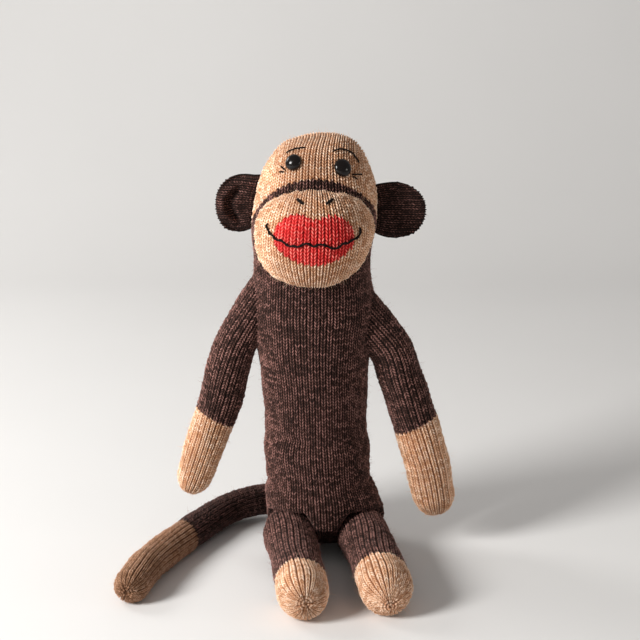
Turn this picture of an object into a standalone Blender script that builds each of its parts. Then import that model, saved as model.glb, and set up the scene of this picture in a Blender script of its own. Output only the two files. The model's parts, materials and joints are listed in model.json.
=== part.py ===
"""Sock monkey doll, sitting, built as it is sewn: knitted skins over separate stuffing.

Metres, +Z up, the face towards -Y. The origin is on the flat of the seat. Left and right are as seen from the front.
"""

import math

import bmesh
import bpy
import numpy as np

# Cloth, gaps and threads
SKIN_WALL = 0.0018
SKIN_GAP = 0.0004
STUFFING_GAP = 0.0006
FACE_GAP = 0.0009
REST_CUT = 0.0005
THREAD_RADIUS = 0.0007
MOUTH_THREAD_RADIUS = 0.0009
CUT_OVERRUN = 0.03
WELD_DISTANCE = 0.00004

# Body: a sock tube that stands on its closed end
BODY_WIDTH = 0.0946
BODY_DEPTH = 0.076
BODY_HEIGHT = 0.232

# Head: the toe of the same sock, above the neck
HEAD_WIDTH = 0.0947
HEAD_DEPTH = 0.088
HEAD_HEIGHT = 0.1364
NECK_BALL_RADIUS = 0.052
NECK_TOP_ROOM = 0.0045
NECK_LAP = 0.0245
NECK_PIVOT_HEIGHT = BODY_HEIGHT - NECK_TOP_ROOM - NECK_BALL_RADIUS
HEAD_BASE_HEIGHT = NECK_PIVOT_HEIGHT + NECK_LAP
CROWN_ARCH_SHARE = 0.8
CROWN_TOP_SHARE = 0.965

# Muzzle: the heel of a second sock, sewn on the face
MUZZLE_WIDTH = 0.0888
MUZZLE_HEIGHT = 0.0746
MUZZLE_RISE = 0.0633
MUZZLE_CENTRE_HEIGHT = HEAD_BASE_HEIGHT + MUZZLE_RISE
MUZZLE_BULGE = 0.0215
MUZZLE_CORE_SHARE = 0.16
NOSTRIL_LENGTH = 0.0044
NOSTRIL_SLOPE = math.radians(38)
NOSTRIL_SPACING = 0.0205
NOSTRIL_RISE = 0.0302

# Brown stripe between the muzzle and the tan crown
STRIPE_HEIGHT = 0.0084
CROWN_SIDE_RISE = 0.062
CROWN_BACK_RISE = 0.008
CROWN_FRONT_HEIGHT = MUZZLE_CENTRE_HEIGHT + MUZZLE_HEIGHT / 2 + STRIPE_HEIGHT

# Eyes: black domes with a stem through the cloth and a washer inside
EYE_RADIUS = 0.0059
EYE_DOME = 0.0044
EYE_STEM_RADIUS = 0.0016
EYE_STEM_LENGTH = 0.0095
EYE_LEFT_ACROSS = 0.0171
EYE_RIGHT_ACROSS = 0.0177
EYE_LEFT_LIFT = 0.0095
EYE_RIGHT_LIFT = 0.0059
WASHER_RADIUS = 0.0055
WASHER_THICKNESS = 0.0014
WASHER_BORE_CLEARANCE = 0.0003
WASHER_DEPTH = 0.0027

# Ears: two layers of sock, gathered into a roll along the side of the head
EAR_HEIGHT = 0.044
EAR_LEFT_WIDTH = 0.0262
EAR_RIGHT_WIDTH = 0.0354
EAR_LEFT_RISE = 0.082
EAR_RIGHT_RISE = 0.0778
EAR_LAYER = 0.0019
EAR_GATHER_RADIUS = 0.0023
EAR_LEFT_CUP = 0.0085
EAR_RIGHT_CUP = 0.0035
EAR_GATHER_SHARE = 0.9

# Arms: stuffed tubes, sewn flat against the sides of the body
SHOULDER_DROP = 0.035
SHOULDER_HEIGHT = BODY_HEIGHT - SHOULDER_DROP
SHOULDER_SINK = 0.0037
ARM_LEFT_RADIUS = 0.0156
ARM_LEFT_SPREAD = 0.056
ARM_LEFT_DROP = 0.1514
ARM_RIGHT_RADIUS = 0.0172
ARM_RIGHT_SPREAD = 0.0551
ARM_RIGHT_DROP = 0.169
HAND_SHARE = 0.44

# Legs: the two halves of the sock's leg, lying forward on the surface
LEG_RADIUS = 0.0198
LEG_LEFT_LENGTH = 0.1296
LEG_RIGHT_LENGTH = 0.1215
LEG_LEFT_VEER = math.radians(7.9)
LEG_RIGHT_VEER = math.radians(10)
HIP_FORWARD = 0.02
CROTCH_WIDTH = 0.0184
CROTCH_DEPTH = 0.03
CROTCH_RISE = 0.037
LEG_RAISE = math.radians(22)
FOOT_LEFT_SHARE = 0.3
FOOT_RIGHT_SHARE = 0.33

# Tail: a stuffed tube from the back of the seat round to the left
TAIL_RADIUS = 0.0126
TAIL_ROOT_SIDE = 0.005
TAIL_ROOT_SINK = 0.0046
TAIL_ROOT_HEIGHT = 0.0225
TAIL_REACH = 0.1365
TAIL_FORWARD_REACH = 0.161
TAIL_TIP_SHARE = 0.455

# Cross-section counts
BODY_SIDES = 28
LIMB_SIDES = 16
THREAD_SIDES = 6
ARM_STEPS = 6
LEG_STEPS = 5
TAIL_STEPS = 9

# Height, half width, half depth and sideways shift, as shares of the body's height, half width, half depth and width
BODY_SHARES = (
    (0.0, 0.72, 0.74, 0.032),
    (0.021, 0.835, 0.885, 0.032),
    (0.06, 0.905, 0.975, 0.032),
    (0.129, 0.92, 1.0, 0.032),
    (0.224, 0.892, 1.0, 0.019),
    (0.323, 0.858, 0.953, 0.0),
    (0.397, 0.848, 0.921, -0.011),
    (0.534, 0.846, 0.895, -0.017),
    (0.647, 0.884, 0.911, -0.027),
    (0.733, 0.93, 0.932, -0.033),
    (0.819, 0.979, 0.947, -0.032),
    (0.888, 1.0, 0.953, -0.029),
    (0.948, 0.994, 0.961, -0.029),
    (1.0, 0.981, 0.974, -0.029),
)
# The same for the head, from below the neck joint to the top of the crown
HEAD_SHARES = (
    (0.0, 0.997, 0.818, -0.029),
    (0.095, 0.988, 0.836, -0.029),
    (0.19, 0.974, 0.87, -0.03),
    (0.279, 0.969, 0.916, -0.03),
    (0.389, 0.984, 0.973, -0.029),
    (0.521, 1.0, 1.0, -0.023),
    (0.623, 0.986, 0.991, -0.019),
    (0.733, 0.927, 0.939, -0.018),
    (0.814, 0.845, 0.864, -0.018),
    (0.88, 0.724, 0.773, -0.015),
    (0.931, 0.57, 0.636, -0.006),
    (0.971, 0.38, 0.443, 0.01),
    (0.993, 0.19, 0.227, 0.025),
    (1.0, 0.0, 0.0, 0.03),
)
# Spine of an arm: shares of its spread and of its drop, from the shoulder to the tip of the hand
ARM_LEFT_SPINE_SHARES = ((0.0, 0.0), (0.41, 0.272), (0.605, 0.59), (1.0, 1.0))
ARM_RIGHT_SPINE_SHARES = ((0.0, 0.0), (0.435, 0.283), (0.72, 0.58), (1.0, 1.0))
# Radius of an arm, a leg and the tail along its length
ARM_SWELL_SHARES = (1.03, 0.99, 0.97, 0.99, 1.0, 1.03, 1.02, 0.96)
LEG_SWELL_SHARES = (1.0, 0.98, 0.955, 0.945, 0.96, 1.0, 1.035, 1.03)
TAIL_SWELL_SHARES = (1.0, 0.97, 0.95, 0.96, 0.99, 1.0, 1.02, 1.0)
# Spine of the tail seen from above: shares of its reach to the left and of its sweep forward
TAIL_SPINE_SHARES = ((0.0, 0.0), (0.275, -0.068), (0.515, 0.006), (0.705, 0.278), (0.91, 0.668), (1.0, 1.0))
# Height of the tail's spine between the surface it lies on and its root
TAIL_HEIGHT_SHARES = (1.0, 0.56, 0.14, 0.03, 0.0, 0.0)
# Outline of the lips in sixteen steps from the right round over the top, as shares of the muzzle's oval
LIPS_EDGE_SHARES = (
    (0.505, 0.545, 0.59, 0.602, 0.497, 0.632, 0.622, 0.586)
    + (0.53, 0.463, 0.43, 0.415, 0.41, 0.415, 0.43, 0.458, 0.505)
)
# The running stitch of the mouth, across and up, as shares of the muzzle's half width and half height
MOUTH_SHARES = (
    ((-0.609, 0.358), (-0.624, 0.291), (-0.554, 0.161), (-0.478, 0.106), (-0.373, 0.056))
    + ((-0.274, -0.01), (-0.191, 0.01), (-0.072, 0.06), (0.009, 0.02), (0.117, 0.05))
    + ((0.211, -0.04), (0.305, -0.015), (0.382, 0.036), (0.453, 0.057), (0.541, 0.108))
    + ((0.598, 0.195), (0.582, 0.3))
)
# Stitches round the eyes, along the cloth across and up from the middle of the eye, as shares of its radius
FACE_STITCH_SHARES = {
    "brow_left": ((-1.9, 1.17), (-0.96, 1.94), (0.64, 2.32)),
    "brow_right": ((-0.58, 2.35), (0.87, 2.46), (2.27, 1.73), (2.81, 0.44)),
    "lash_left_upper": ((-0.9, -1.01), (-1.71, -0.63)),
    "lash_left_lower": ((-0.9, -1.29), (-1.62, -1.4)),
    "lash_right_upper": ((1.15, -0.95), (2.6, -1.15)),
    "lash_right_lower": ((1.15, -1.24), (1.68, -1.66)),
}
# Points of an ear's sheet between its gather and its rim
EAR_OUT_SHARES = (0.0, 0.3, 0.58, 0.82, 0.96, 1.0)
EAR_ROUNDNESS = 0.85

BROWN = (0.052, 0.029, 0.026)
TAN = (0.45, 0.25, 0.14)
RED = (0.53, 0.028, 0.032)
BLACK = (0.006, 0.006, 0.007)
FILL = (0.82, 0.8, 0.76)
WASHER_WHITE = (0.7, 0.7, 0.68)

LEFT, RIGHT = -1, 1


def clear_scene():
    for item in list(bpy.data.objects):
        bpy.data.objects.remove(item, do_unlink=True)


def make_material(name, colour, roughness, sheen=0.0):
    made = bpy.data.materials.new(name)
    made.use_nodes = True
    shader = made.node_tree.nodes["Principled BSDF"]
    shader.inputs["Base Color"].default_value = (*colour, 1)
    shader.inputs["Roughness"].default_value = roughness
    shader.inputs["Metallic"].default_value = 0
    shader.inputs["Sheen Weight"].default_value = sheen
    return made


def make_empty(name, place):
    empty = bpy.data.objects.new(name, None)
    empty.location = place
    bpy.context.scene.collection.objects.link(empty)
    return empty


def face_outwards(mesh):
    """Joins points that lie on each other, and turns all faces outwards."""
    shape = bmesh.new()
    shape.from_mesh(mesh)
    bmesh.ops.remove_doubles(shape, verts=shape.verts, dist=WELD_DISTANCE)
    bmesh.ops.dissolve_degenerate(shape, edges=shape.edges, dist=WELD_DISTANCE)
    bmesh.ops.recalc_face_normals(shape, faces=shape.faces)
    shape.to_mesh(mesh)
    shape.free()


def make_object(name, points, faces, finish, pivot=None):
    """A mesh object whose points are given in world places. Its origin is its pivot's."""
    origin = np.array(pivot.location) if pivot else np.zeros(3)
    mesh = bpy.data.meshes.new(name)
    mesh.from_pydata((np.asarray(points) - origin).tolist(), [], faces)
    face_outwards(mesh)
    mesh.shade_smooth()
    mesh.set_sharp_from_angle(angle=math.radians(50))
    if finish:
        mesh.materials.append(finish)
    made = bpy.data.objects.new(name, mesh)
    bpy.context.scene.collection.objects.link(made)
    if pivot:
        made.parent = pivot
    return made


def make_cutter(name, points, faces):
    cutter = make_object(name, points, faces, None)
    cutter.hide_render = True
    cutter.display_type = "WIRE"
    return cutter


def cut(item, cutter):
    modifier = item.modifiers.new("cut_" + cutter.name, "BOOLEAN")
    modifier.operation = "DIFFERENCE"
    modifier.object = cutter


def spline(rows, at):
    """A smooth curve through the rows at whole numbers, read at the given places."""
    rows = np.asarray(rows, float)
    at = np.clip(np.asarray(at, float), 0, len(rows) - 1)
    slopes = np.gradient(rows, axis=0)
    low = np.minimum(at.astype(int), len(rows) - 2)
    t = (at - low)[..., None]
    return (
        (2 * t**3 - 3 * t**2 + 1) * rows[low]
        + (t**3 - 2 * t**2 + t) * slopes[low]
        + (3 * t**2 - 2 * t**3) * rows[low + 1]
        + (t**3 - t**2) * slopes[low + 1]
    )


def unit(vectors):
    return vectors / np.linalg.norm(vectors, axis=-1, keepdims=True)


class Form:
    """A stuffed tube of oval sections. Its surface is a function of a turn from the front and a place up the form."""

    def __init__(self, shares, width, depth, base, height):
        scale = np.array([height, width / 2, depth / 2, width])
        self.rows = np.asarray(shares) * scale + np.array([base, 0, 0, 0])
        self.last = len(self.rows) - 1

    def sections(self, place, inset=0.0):
        """Height, half width, half depth and shift at a place, moved in square to the surface."""
        step = self.last / 1000
        section = spline(self.rows, place)
        rise = spline(self.rows, place + step) - spline(self.rows, place - step)
        outward = unit(np.stack([rise[..., 0], -(rise[..., 1] + rise[..., 2]) / 2], axis=-1))
        section[..., 0] -= inset * outward[..., 1]
        section[..., 1] = np.maximum(section[..., 1] - inset * outward[..., 0], 0)
        section[..., 2] = np.maximum(section[..., 2] - inset * outward[..., 0], 0)
        return section

    def point(self, turn, place, inset=0.0):
        section = self.sections(np.asarray(place, float) + 0 * turn, inset)
        return np.stack(
            [
                section[..., 3] + section[..., 1] * np.sin(turn),
                -section[..., 2] * np.cos(turn),
                section[..., 0],
            ],
            axis=-1,
        )

    def normal(self, turn, place):
        step = self.last / 1000
        around = self.point(turn + step, place) - self.point(turn - step, place)
        along = self.point(turn, place + step) - self.point(turn, place - step)
        return unit(np.cross(around, along))

    def place_at(self, height):
        places = np.linspace(0, self.last, 2001)
        return np.interp(height, spline(self.rows, places)[:, 0], places)

    def side_reach(self, side, heights):
        """How far the surface reaches to a side at the given heights."""
        section = self.sections(self.place_at(heights))
        return side * section[:, 3] + section[:, 1]

    def turn_at(self, across, place):
        """The turn from the front at which the surface is this far across."""
        section = self.sections(np.asarray(place, float))
        return np.arcsin((across - section[..., 3]) / section[..., 1])


body_form = Form(BODY_SHARES, BODY_WIDTH, BODY_DEPTH, 0.0, BODY_HEIGHT)
head_form = Form(HEAD_SHARES, HEAD_WIDTH, HEAD_DEPTH, HEAD_BASE_HEIGHT, HEAD_HEIGHT)


def ring_faces(rings, sides, first=0):
    """Quads between rings of points that follow each other."""
    faces = []
    for ring in range(rings - 1):
        low = first + ring * sides
        for side in range(sides):
            after = (side + 1) % sides
            faces.append((low + side, low + after, low + sides + after, low + sides + side))
    return faces


def fan_faces(first, sides, pole, opening_up=True):
    faces = []
    for side in range(sides):
        after = (side + 1) % sides
        ends = (first + side, first + after) if opening_up else (first + after, first + side)
        faces.append((*ends, pole))
    return faces


def solid_mesh(rings, start, end):
    """A closed body through rings, with a pole point at each end."""
    count, sides = rings.shape[:2]
    points = np.concatenate([rings.reshape(-1, 3), [start, end]])
    faces = ring_faces(count, sides)
    faces += fan_faces(0, sides, count * sides, opening_up=False)
    faces += fan_faces((count - 1) * sides, sides, count * sides + 1)
    return points, faces


def walled_mesh(outer, inner, outer_pole=None, inner_pole=None):
    """A wall between two surfaces of rings, open at its start, and at its end too where no poles close it."""
    count, sides = outer.shape[:2]
    total = count * sides
    points = np.concatenate([outer.reshape(-1, 3), inner.reshape(-1, 3)])
    faces = ring_faces(count, sides)
    faces += [face[::-1] for face in ring_faces(count, sides, total)]
    last = total - sides
    for side in range(sides):
        after = (side + 1) % sides
        faces.append((side, total + side, total + after, after))
        if outer_pole is None:
            faces.append((last + side, last + after, total + last + after, total + last + side))
    if outer_pole is not None:
        points = np.concatenate([points, [outer_pole, inner_pole]])
        faces += fan_faces(last, sides, 2 * total)
        faces += fan_faces(total + last, sides, 2 * total + 1, opening_up=False)
    return points, faces


def slab_mesh(front, back):
    """A wall between two sheets of points that are open on all four sides."""
    rows, columns = front.shape[:2]
    total = rows * columns
    points = np.concatenate([front.reshape(-1, 3), back.reshape(-1, 3)])
    faces = []
    for row in range(rows - 1):
        for column in range(columns - 1):
            low = row * columns + column
            quad = (low, low + 1, low + columns + 1, low + columns)
            faces += [quad, tuple(total + corner for corner in reversed(quad))]
    edge = [column for column in range(columns)]
    edge += [row * columns + columns - 1 for row in range(1, rows)]
    edge += [(rows - 1) * columns + column for column in range(columns - 2, -1, -1)]
    edge += [row * columns for row in range(rows - 2, 0, -1)]
    for start, end in zip(edge, edge[1:] + edge[:1]):
        faces.append((end, start, total + start, total + end))
    return points, faces


def prism_mesh(profile, start, end):
    """An outline in Y and Z, carried along X."""
    count = len(profile)
    points = [(x, y, z) for x in (start, end) for y, z in profile]
    faces = [tuple(range(count - 1, -1, -1)), tuple(range(count, 2 * count))]
    for corner in range(count):
        after = (corner + 1) % count
        faces.append((corner, after, count + after, count + corner))
    return points, faces


def arc(centre, radius, start, end, count):
    """Points in Y and Z on an arc, with angles from +Y towards +Z."""
    angles = np.linspace(start, end, count)
    return [(centre[0] + radius * math.cos(a), centre[1] + radius * math.sin(a)) for a in angles]


def rod_mesh(base, axis, stations, sides):
    """A turned body: rings of (distance along the axis, radius)."""
    axis = unit(np.asarray(axis, float))
    across = unit(np.cross(axis, (0, 0, 1) if abs(axis[2]) < 0.9 else (1, 0, 0)))
    other = np.cross(axis, across)
    turns = np.linspace(0, 2 * math.pi, sides, endpoint=False)[:, None]
    spokes = np.cos(turns) * across + np.sin(turns) * other
    rings = np.array([base + along * axis + radius * spokes for along, radius in stations])
    return solid_mesh(rings, base + stations[0][0] * axis, base + stations[-1][0] * axis)


def thread_mesh(path, radius, ahead):
    """A thread along a path, with rounded ends. Its sides are square to the path and to the way ahead."""
    path = np.asarray(path, float)
    ahead = np.asarray(ahead, float) + 0 * path
    along = unit(np.gradient(path, axis=0))
    across = unit(np.cross(along, ahead))
    other = np.cross(along, across)
    turns = np.linspace(0, 2 * math.pi, THREAD_SIDES, endpoint=False)[:, None]
    sizes = np.full(len(path), radius)
    sizes[[0, -1]] = radius / 2
    rings = np.array(
        [
            place + size * (np.cos(turns) * side + np.sin(turns) * up)
            for place, size, side, up in zip(path, sizes, across, other)
        ]
    )
    return solid_mesh(rings, path[0] - along[0] * radius / 2, path[-1] + along[-1] * radius / 2)


def turns_round(sides):
    return np.linspace(0, 2 * math.pi, sides, endpoint=False)


def crown_edge_height(turn):
    """The line where the brown of the neck meets the tan toe: an arch over the face."""
    ahead = np.cos(turn)
    side_height = HEAD_BASE_HEIGHT + CROWN_SIDE_RISE
    rise = np.where(
        ahead > 0,
        (CROWN_FRONT_HEIGHT - side_height) * np.abs(ahead) ** CROWN_ARCH_SHARE,
        CROWN_BACK_RISE * np.abs(ahead),
    )
    return side_height + rise


def form_rings(form, start, end, count, sides, inset=0.0):
    """Rings of a form between two places, which may differ from side to side."""
    turns = turns_round(sides)
    start, end = start + 0 * turns, end + 0 * turns
    shares = np.linspace(0, 1, count)[:, None]
    places = start + (end - start) * shares
    return form.point(turns + 0 * places, places, inset)


def neck_cutter(name, radius, keeps_inside):
    """The joint face of the neck: a cylinder across the doll. The cutter is all above it, or all below it."""
    centre = (0.0, NECK_PIVOT_HEIGHT)
    reach = max(BODY_DEPTH, HEAD_DEPTH)
    top = HEAD_BASE_HEIGHT + HEAD_HEIGHT + CUT_OVERRUN
    if keeps_inside:
        profile = arc(centre, radius, 0, math.pi, 33)
        profile += [(-reach, NECK_PIVOT_HEIGHT), (-reach, top), (reach, top), (reach, NECK_PIVOT_HEIGHT)]
    else:
        profile = arc(centre, radius, 0, math.pi, 33)
        profile += [(-radius, NECK_PIVOT_HEIGHT - CUT_OVERRUN), (radius, NECK_PIVOT_HEIGHT - CUT_OVERRUN)]
    return make_cutter(name, *prism_mesh(profile, -BODY_WIDTH, BODY_WIDTH))


def seat_shift():
    return body_form.rows[0][3]


def hip_place(side):
    """The middle of a leg's root, on the hip joint's axis."""
    across = seat_shift() + side * (CROTCH_WIDTH / 2 + LEG_RADIUS)
    return np.array([across, -HIP_FORWARD, LEG_RADIUS - REST_CUT])


def tail_place():
    """The middle of the tail's root, on the tail joint's axis."""
    back = body_form.sections(body_form.place_at(TAIL_ROOT_HEIGHT))[2]
    return np.array([-TAIL_ROOT_SIDE, back + TAIL_RADIUS - TAIL_ROOT_SINK, TAIL_ROOT_HEIGHT])


def face_plane(side):
    """Where an arm's flat root stands: just outside the body and the head round the shoulder."""
    heights = SHOULDER_HEIGHT + ARM_RIGHT_RADIUS * np.linspace(-2, 2, 21)
    reach = max(form.side_reach(side, heights).max() for form in (body_form, head_form))
    return side * (reach + SKIN_GAP)


def shoulder_place(side):
    return np.array([face_plane(side) - side * SHOULDER_SINK, 0, SHOULDER_HEIGHT])


def leg_clearance(name, side, more=0.0):
    """The room for a leg's root and its swing, from hanging down to raised, and more for what lies behind the cloth."""
    hip = hip_place(side)
    radius = LEG_RADIUS + SKIN_GAP + more
    centre = (hip[1], hip[2])
    tangent = math.pi / 2 - LEG_RAISE
    ahead = BODY_DEPTH
    profile = arc(centre, radius, 0, tangent, 15)
    touch = profile[-1]
    profile.append((touch[0] - ahead * math.cos(LEG_RAISE), touch[1] + ahead * math.sin(LEG_RAISE)))
    profile.append((profile[-1][0], -CUT_OVERRUN))
    profile.append((profile[0][0], -CUT_OVERRUN))
    veer = LEG_LEFT_VEER if side == LEFT else 0.0
    inner = seat_shift() + side * (CROTCH_WIDTH / 2 - SKIN_GAP - more - math.sin(veer) * LEG_RADIUS)
    ends = sorted((inner, side * BODY_WIDTH))
    return make_cutter(name, *prism_mesh(profile, *ends))


def crotch_clearance(name, more=0.0):
    """All below the rounded underside of the belly, from its front to the flat of the seat."""
    front = more - BODY_DEPTH / 2
    angles = np.linspace(0, math.pi / 2, 9)
    profile = [
        (front + CROTCH_DEPTH * (1 - math.cos(a)), more + CROTCH_RISE * (1 - math.sin(a))) for a in angles
    ]
    profile += [(profile[-1][0], -CUT_OVERRUN), (front - CUT_OVERRUN, -CUT_OVERRUN)]
    profile.append((front - CUT_OVERRUN, profile[0][1]))
    return make_cutter(name, *prism_mesh(profile, -BODY_WIDTH, BODY_WIDTH))


def root_clearances(word, more=0.0):
    """The room in the body for the roots of the legs and the tail and below the belly."""
    return [
        leg_clearance("leg_room_left_" + word, LEFT, more),
        leg_clearance("leg_room_right_" + word, RIGHT, more),
        crotch_clearance("crotch_room_" + word, more),
        tail_clearance("tail_room_" + word, more),
    ]


def build_body(finishes):
    """The body's skin and the stuffing that it holds, open only at the neck."""
    outer = form_rings(body_form, 0.0, body_form.last, 20, BODY_SIDES)
    centre, top = outer[0].mean(axis=0), outer[-1].mean(axis=0)
    skin = make_object("body_skin", *solid_mesh(outer, centre, top), finishes["brown"])
    for word, inset, sides, count in (
        ("hollow", SKIN_WALL, BODY_SIDES, 20),
        ("stuffing", SKIN_WALL + STUFFING_GAP, LIMB_SIDES, 14),
    ):
        rings = form_rings(body_form, 0.0, body_form.last, count, sides, inset)
        rings[0, :, 2] = inset
        above = np.array([0, 0, CUT_OVERRUN])
        low, high = rings[0].mean(axis=0), rings[-1].mean(axis=0) + above
        mesh = solid_mesh(np.concatenate([rings, rings[-1:] + above]), low, high)
        made = make_object("body_" + word, *mesh, finishes["fill"])
        for clearance in root_clearances(word, inset):
            cut(made, clearance)
        if word == "hollow":
            made.hide_render = True
            made.display_type = "WIRE"
            cut(skin, made)
        else:
            cut(made, neck_cutter("neck_above_stuffing", NECK_BALL_RADIUS, True))
    for clearance in (neck_cutter("neck_above", NECK_BALL_RADIUS, True), *root_clearances("skin")):
        cut(skin, clearance)


def build_head(finishes, pivot):
    """The neck's brown skin, the tan crown and one stuffing inside both."""
    turns = turns_round(BODY_SIDES)
    edge = crown_edge_height(turns)
    half = SKIN_GAP / 2
    lower = neck_cutter("neck_below", NECK_BALL_RADIUS + SKIN_GAP, False)
    walls = []
    for inset in (0.0, SKIN_WALL):
        walls.append(form_rings(head_form, 0.0, head_form.place_at(edge - half), 9, BODY_SIDES, inset))
    neck = make_object("neck_skin", *walled_mesh(*walls), finishes["brown"], pivot)
    cut(neck, lower)
    near_top = head_form.last * CROWN_TOP_SHARE
    walls, poles = [], []
    for inset in (0.0, SKIN_WALL):
        walls.append(form_rings(head_form, head_form.place_at(edge + half), near_top, 9, BODY_SIDES, inset))
        poles.append(spline(head_form.rows, head_form.last)[[3, 1, 0]] - [0, 0, inset])
    crown = make_object("crown_skin", *walled_mesh(*walls, *poles), finishes["tan"], pivot)
    inset = SKIN_WALL + STUFFING_GAP
    rings = form_rings(head_form, 0.0, near_top, 12, 14, inset)
    top = spline(head_form.rows, head_form.last)[[3, 1, 0]] - [0, 0, inset]
    stuffing = make_object(
        "head_stuffing", *solid_mesh(rings, rings[0].mean(axis=0), top), finishes["fill"], pivot
    )
    cut(stuffing, lower)
    return crown, stuffing


def muzzle_point(share, turn, lift=0.0, bulge_share=1.0, shrink=0.0):
    """A place on the muzzle: a share of its oval, pushed out from the face by its stuffing.

    Shrink is how much smaller the oval is there, for the surfaces inside.
    """
    half_turn = math.asin(min(MUZZLE_WIDTH / HEAD_WIDTH, 1.0))
    inner_share = share * (1 - shrink / (MUZZLE_HEIGHT / 2))
    height = MUZZLE_CENTRE_HEIGHT + MUZZLE_HEIGHT / 2 * inner_share * np.sin(turn)
    face_turn = half_turn * inner_share * np.cos(turn)
    place = head_form.place_at(height)
    base = head_form.point(face_turn, place) + lift * head_form.normal(face_turn, place)
    swell = bulge_share * MUZZLE_BULGE * np.clip(1 - share**2, 0, 1) ** 0.62
    return base - np.stack([0 * swell, swell, 0 * swell], axis=-1)


def lips_edge_share(turn):
    """The outline of the lips: an oval with a notch at the top."""
    steps = len(LIPS_EDGE_SHARES) - 1
    return spline(np.array(LIPS_EDGE_SHARES)[:, None], turn / (2 * math.pi) * steps)[..., 0]


def build_muzzle(finishes, pivot):
    """The tan muzzle, the red lips knitted into it and the stuffing behind them."""
    turns = turns_round(BODY_SIDES)
    edge = lips_edge_share(turns)
    half = SKIN_GAP / MUZZLE_HEIGHT
    inner_bulge = (MUZZLE_BULGE - STUFFING_GAP) / MUZZLE_BULGE

    def rings(start, end, count, lift, bulge_share, shrink):
        shares = start + (end - start) * np.linspace(0, 1, count)[:, None]
        return muzzle_point(shares + 0 * turns, turns + 0 * shares, lift, bulge_share, shrink)

    rim, core = 1.0 + 0 * turns, MUZZLE_CORE_SHARE + 0 * turns
    outer_lift = FACE_GAP + SKIN_WALL
    outer = rings(rim, edge + half, 5, outer_lift, 1.0, 0.0)
    inner = rings(rim, edge + half, 5, FACE_GAP, 1.0, SKIN_WALL)
    make_object("muzzle_skin", *walled_mesh(outer, inner), finishes["tan"], pivot)
    outer = rings(edge - half, core, 4, outer_lift, 1.0, 0.0)
    inner = rings(edge - half, core, 4, FACE_GAP, 1.0, SKIN_WALL)
    centre = np.zeros(1)
    poles = [muzzle_point(centre, centre, lift)[0] for lift in (outer_lift, FACE_GAP)]
    make_object("lips", *walled_mesh(outer, inner, *poles), finishes["red"], pivot)
    shrink = SKIN_WALL + 2 * STUFFING_GAP
    front = rings(rim, core, 7, FACE_GAP, inner_bulge, shrink)
    back = rings(core, rim, 7, FACE_GAP, 0.0, shrink)[:-1]
    front[..., 1] += STUFFING_GAP * (1 - np.linspace(1, 0, 7)[:, None] ** 4)
    start, end = (muzzle_point(centre, centre, FACE_GAP, bulge)[0] for bulge in (0.0, inner_bulge))
    end[1] += STUFFING_GAP
    mesh = solid_mesh(np.concatenate([back, front]), start, end)
    make_object("muzzle_stuffing", *mesh, finishes["fill"], pivot)


def on_muzzle(shares, lift):
    """Places on the muzzle, given across and up as shares of its half width and half height."""
    across, up = np.asarray(shares).T
    return muzzle_point(np.hypot(across, up), np.arctan2(up, across), lift)


def build_mouth(finishes, pivot):
    """The black running stitch across the lips, turned up at both ends, and the two stitches of the nose."""
    lift = FACE_GAP + SKIN_WALL + MOUTH_THREAD_RADIUS + SKIN_GAP
    shares = spline(MOUTH_SHARES, np.linspace(0, len(MOUTH_SHARES) - 1, 33))
    mesh = thread_mesh(on_muzzle(shares, lift), MOUTH_THREAD_RADIUS, (0, -1, 0))
    make_object("mouth_thread", *mesh, finishes["thread"], pivot)
    lift = FACE_GAP + SKIN_WALL + THREAD_RADIUS + SKIN_GAP
    for side, name in ((LEFT, "nostril_left"), (RIGHT, "nostril_right")):
        reach = np.linspace(-0.5, 0.5, 4) * NOSTRIL_LENGTH
        across = side * NOSTRIL_SPACING / 2 + reach * math.cos(NOSTRIL_SLOPE)
        up = NOSTRIL_RISE + side * reach * math.sin(NOSTRIL_SLOPE)
        shares = np.stack([across / (MUZZLE_WIDTH / 2), up / (MUZZLE_HEIGHT / 2)], axis=-1)
        mesh = thread_mesh(on_muzzle(shares, lift), THREAD_RADIUS, (0, -1, 0))
        make_object(name, *mesh, finishes["thread"], pivot)


def on_crown(turn, place, across, up, lift):
    """Places at distances across and up along the head's cloth from a start, and the ways that it faces there."""
    places = np.linspace(0, head_form.last, 2001)
    meridian = head_form.point(turn + 0 * places, places)
    steps = np.linalg.norm(np.diff(meridian, axis=0), axis=1)
    lengths = np.concatenate([[0], np.cumsum(steps)])
    there = np.interp(np.interp(place, places, lengths) + up, lengths, places)
    _, half_width, half_depth, _ = head_form.sections(place)
    turns = turn + across / math.hypot(half_width * math.cos(turn), half_depth * math.sin(turn))
    normal = head_form.normal(turns, there)
    return head_form.point(turns, there) + lift * normal, normal


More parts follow.
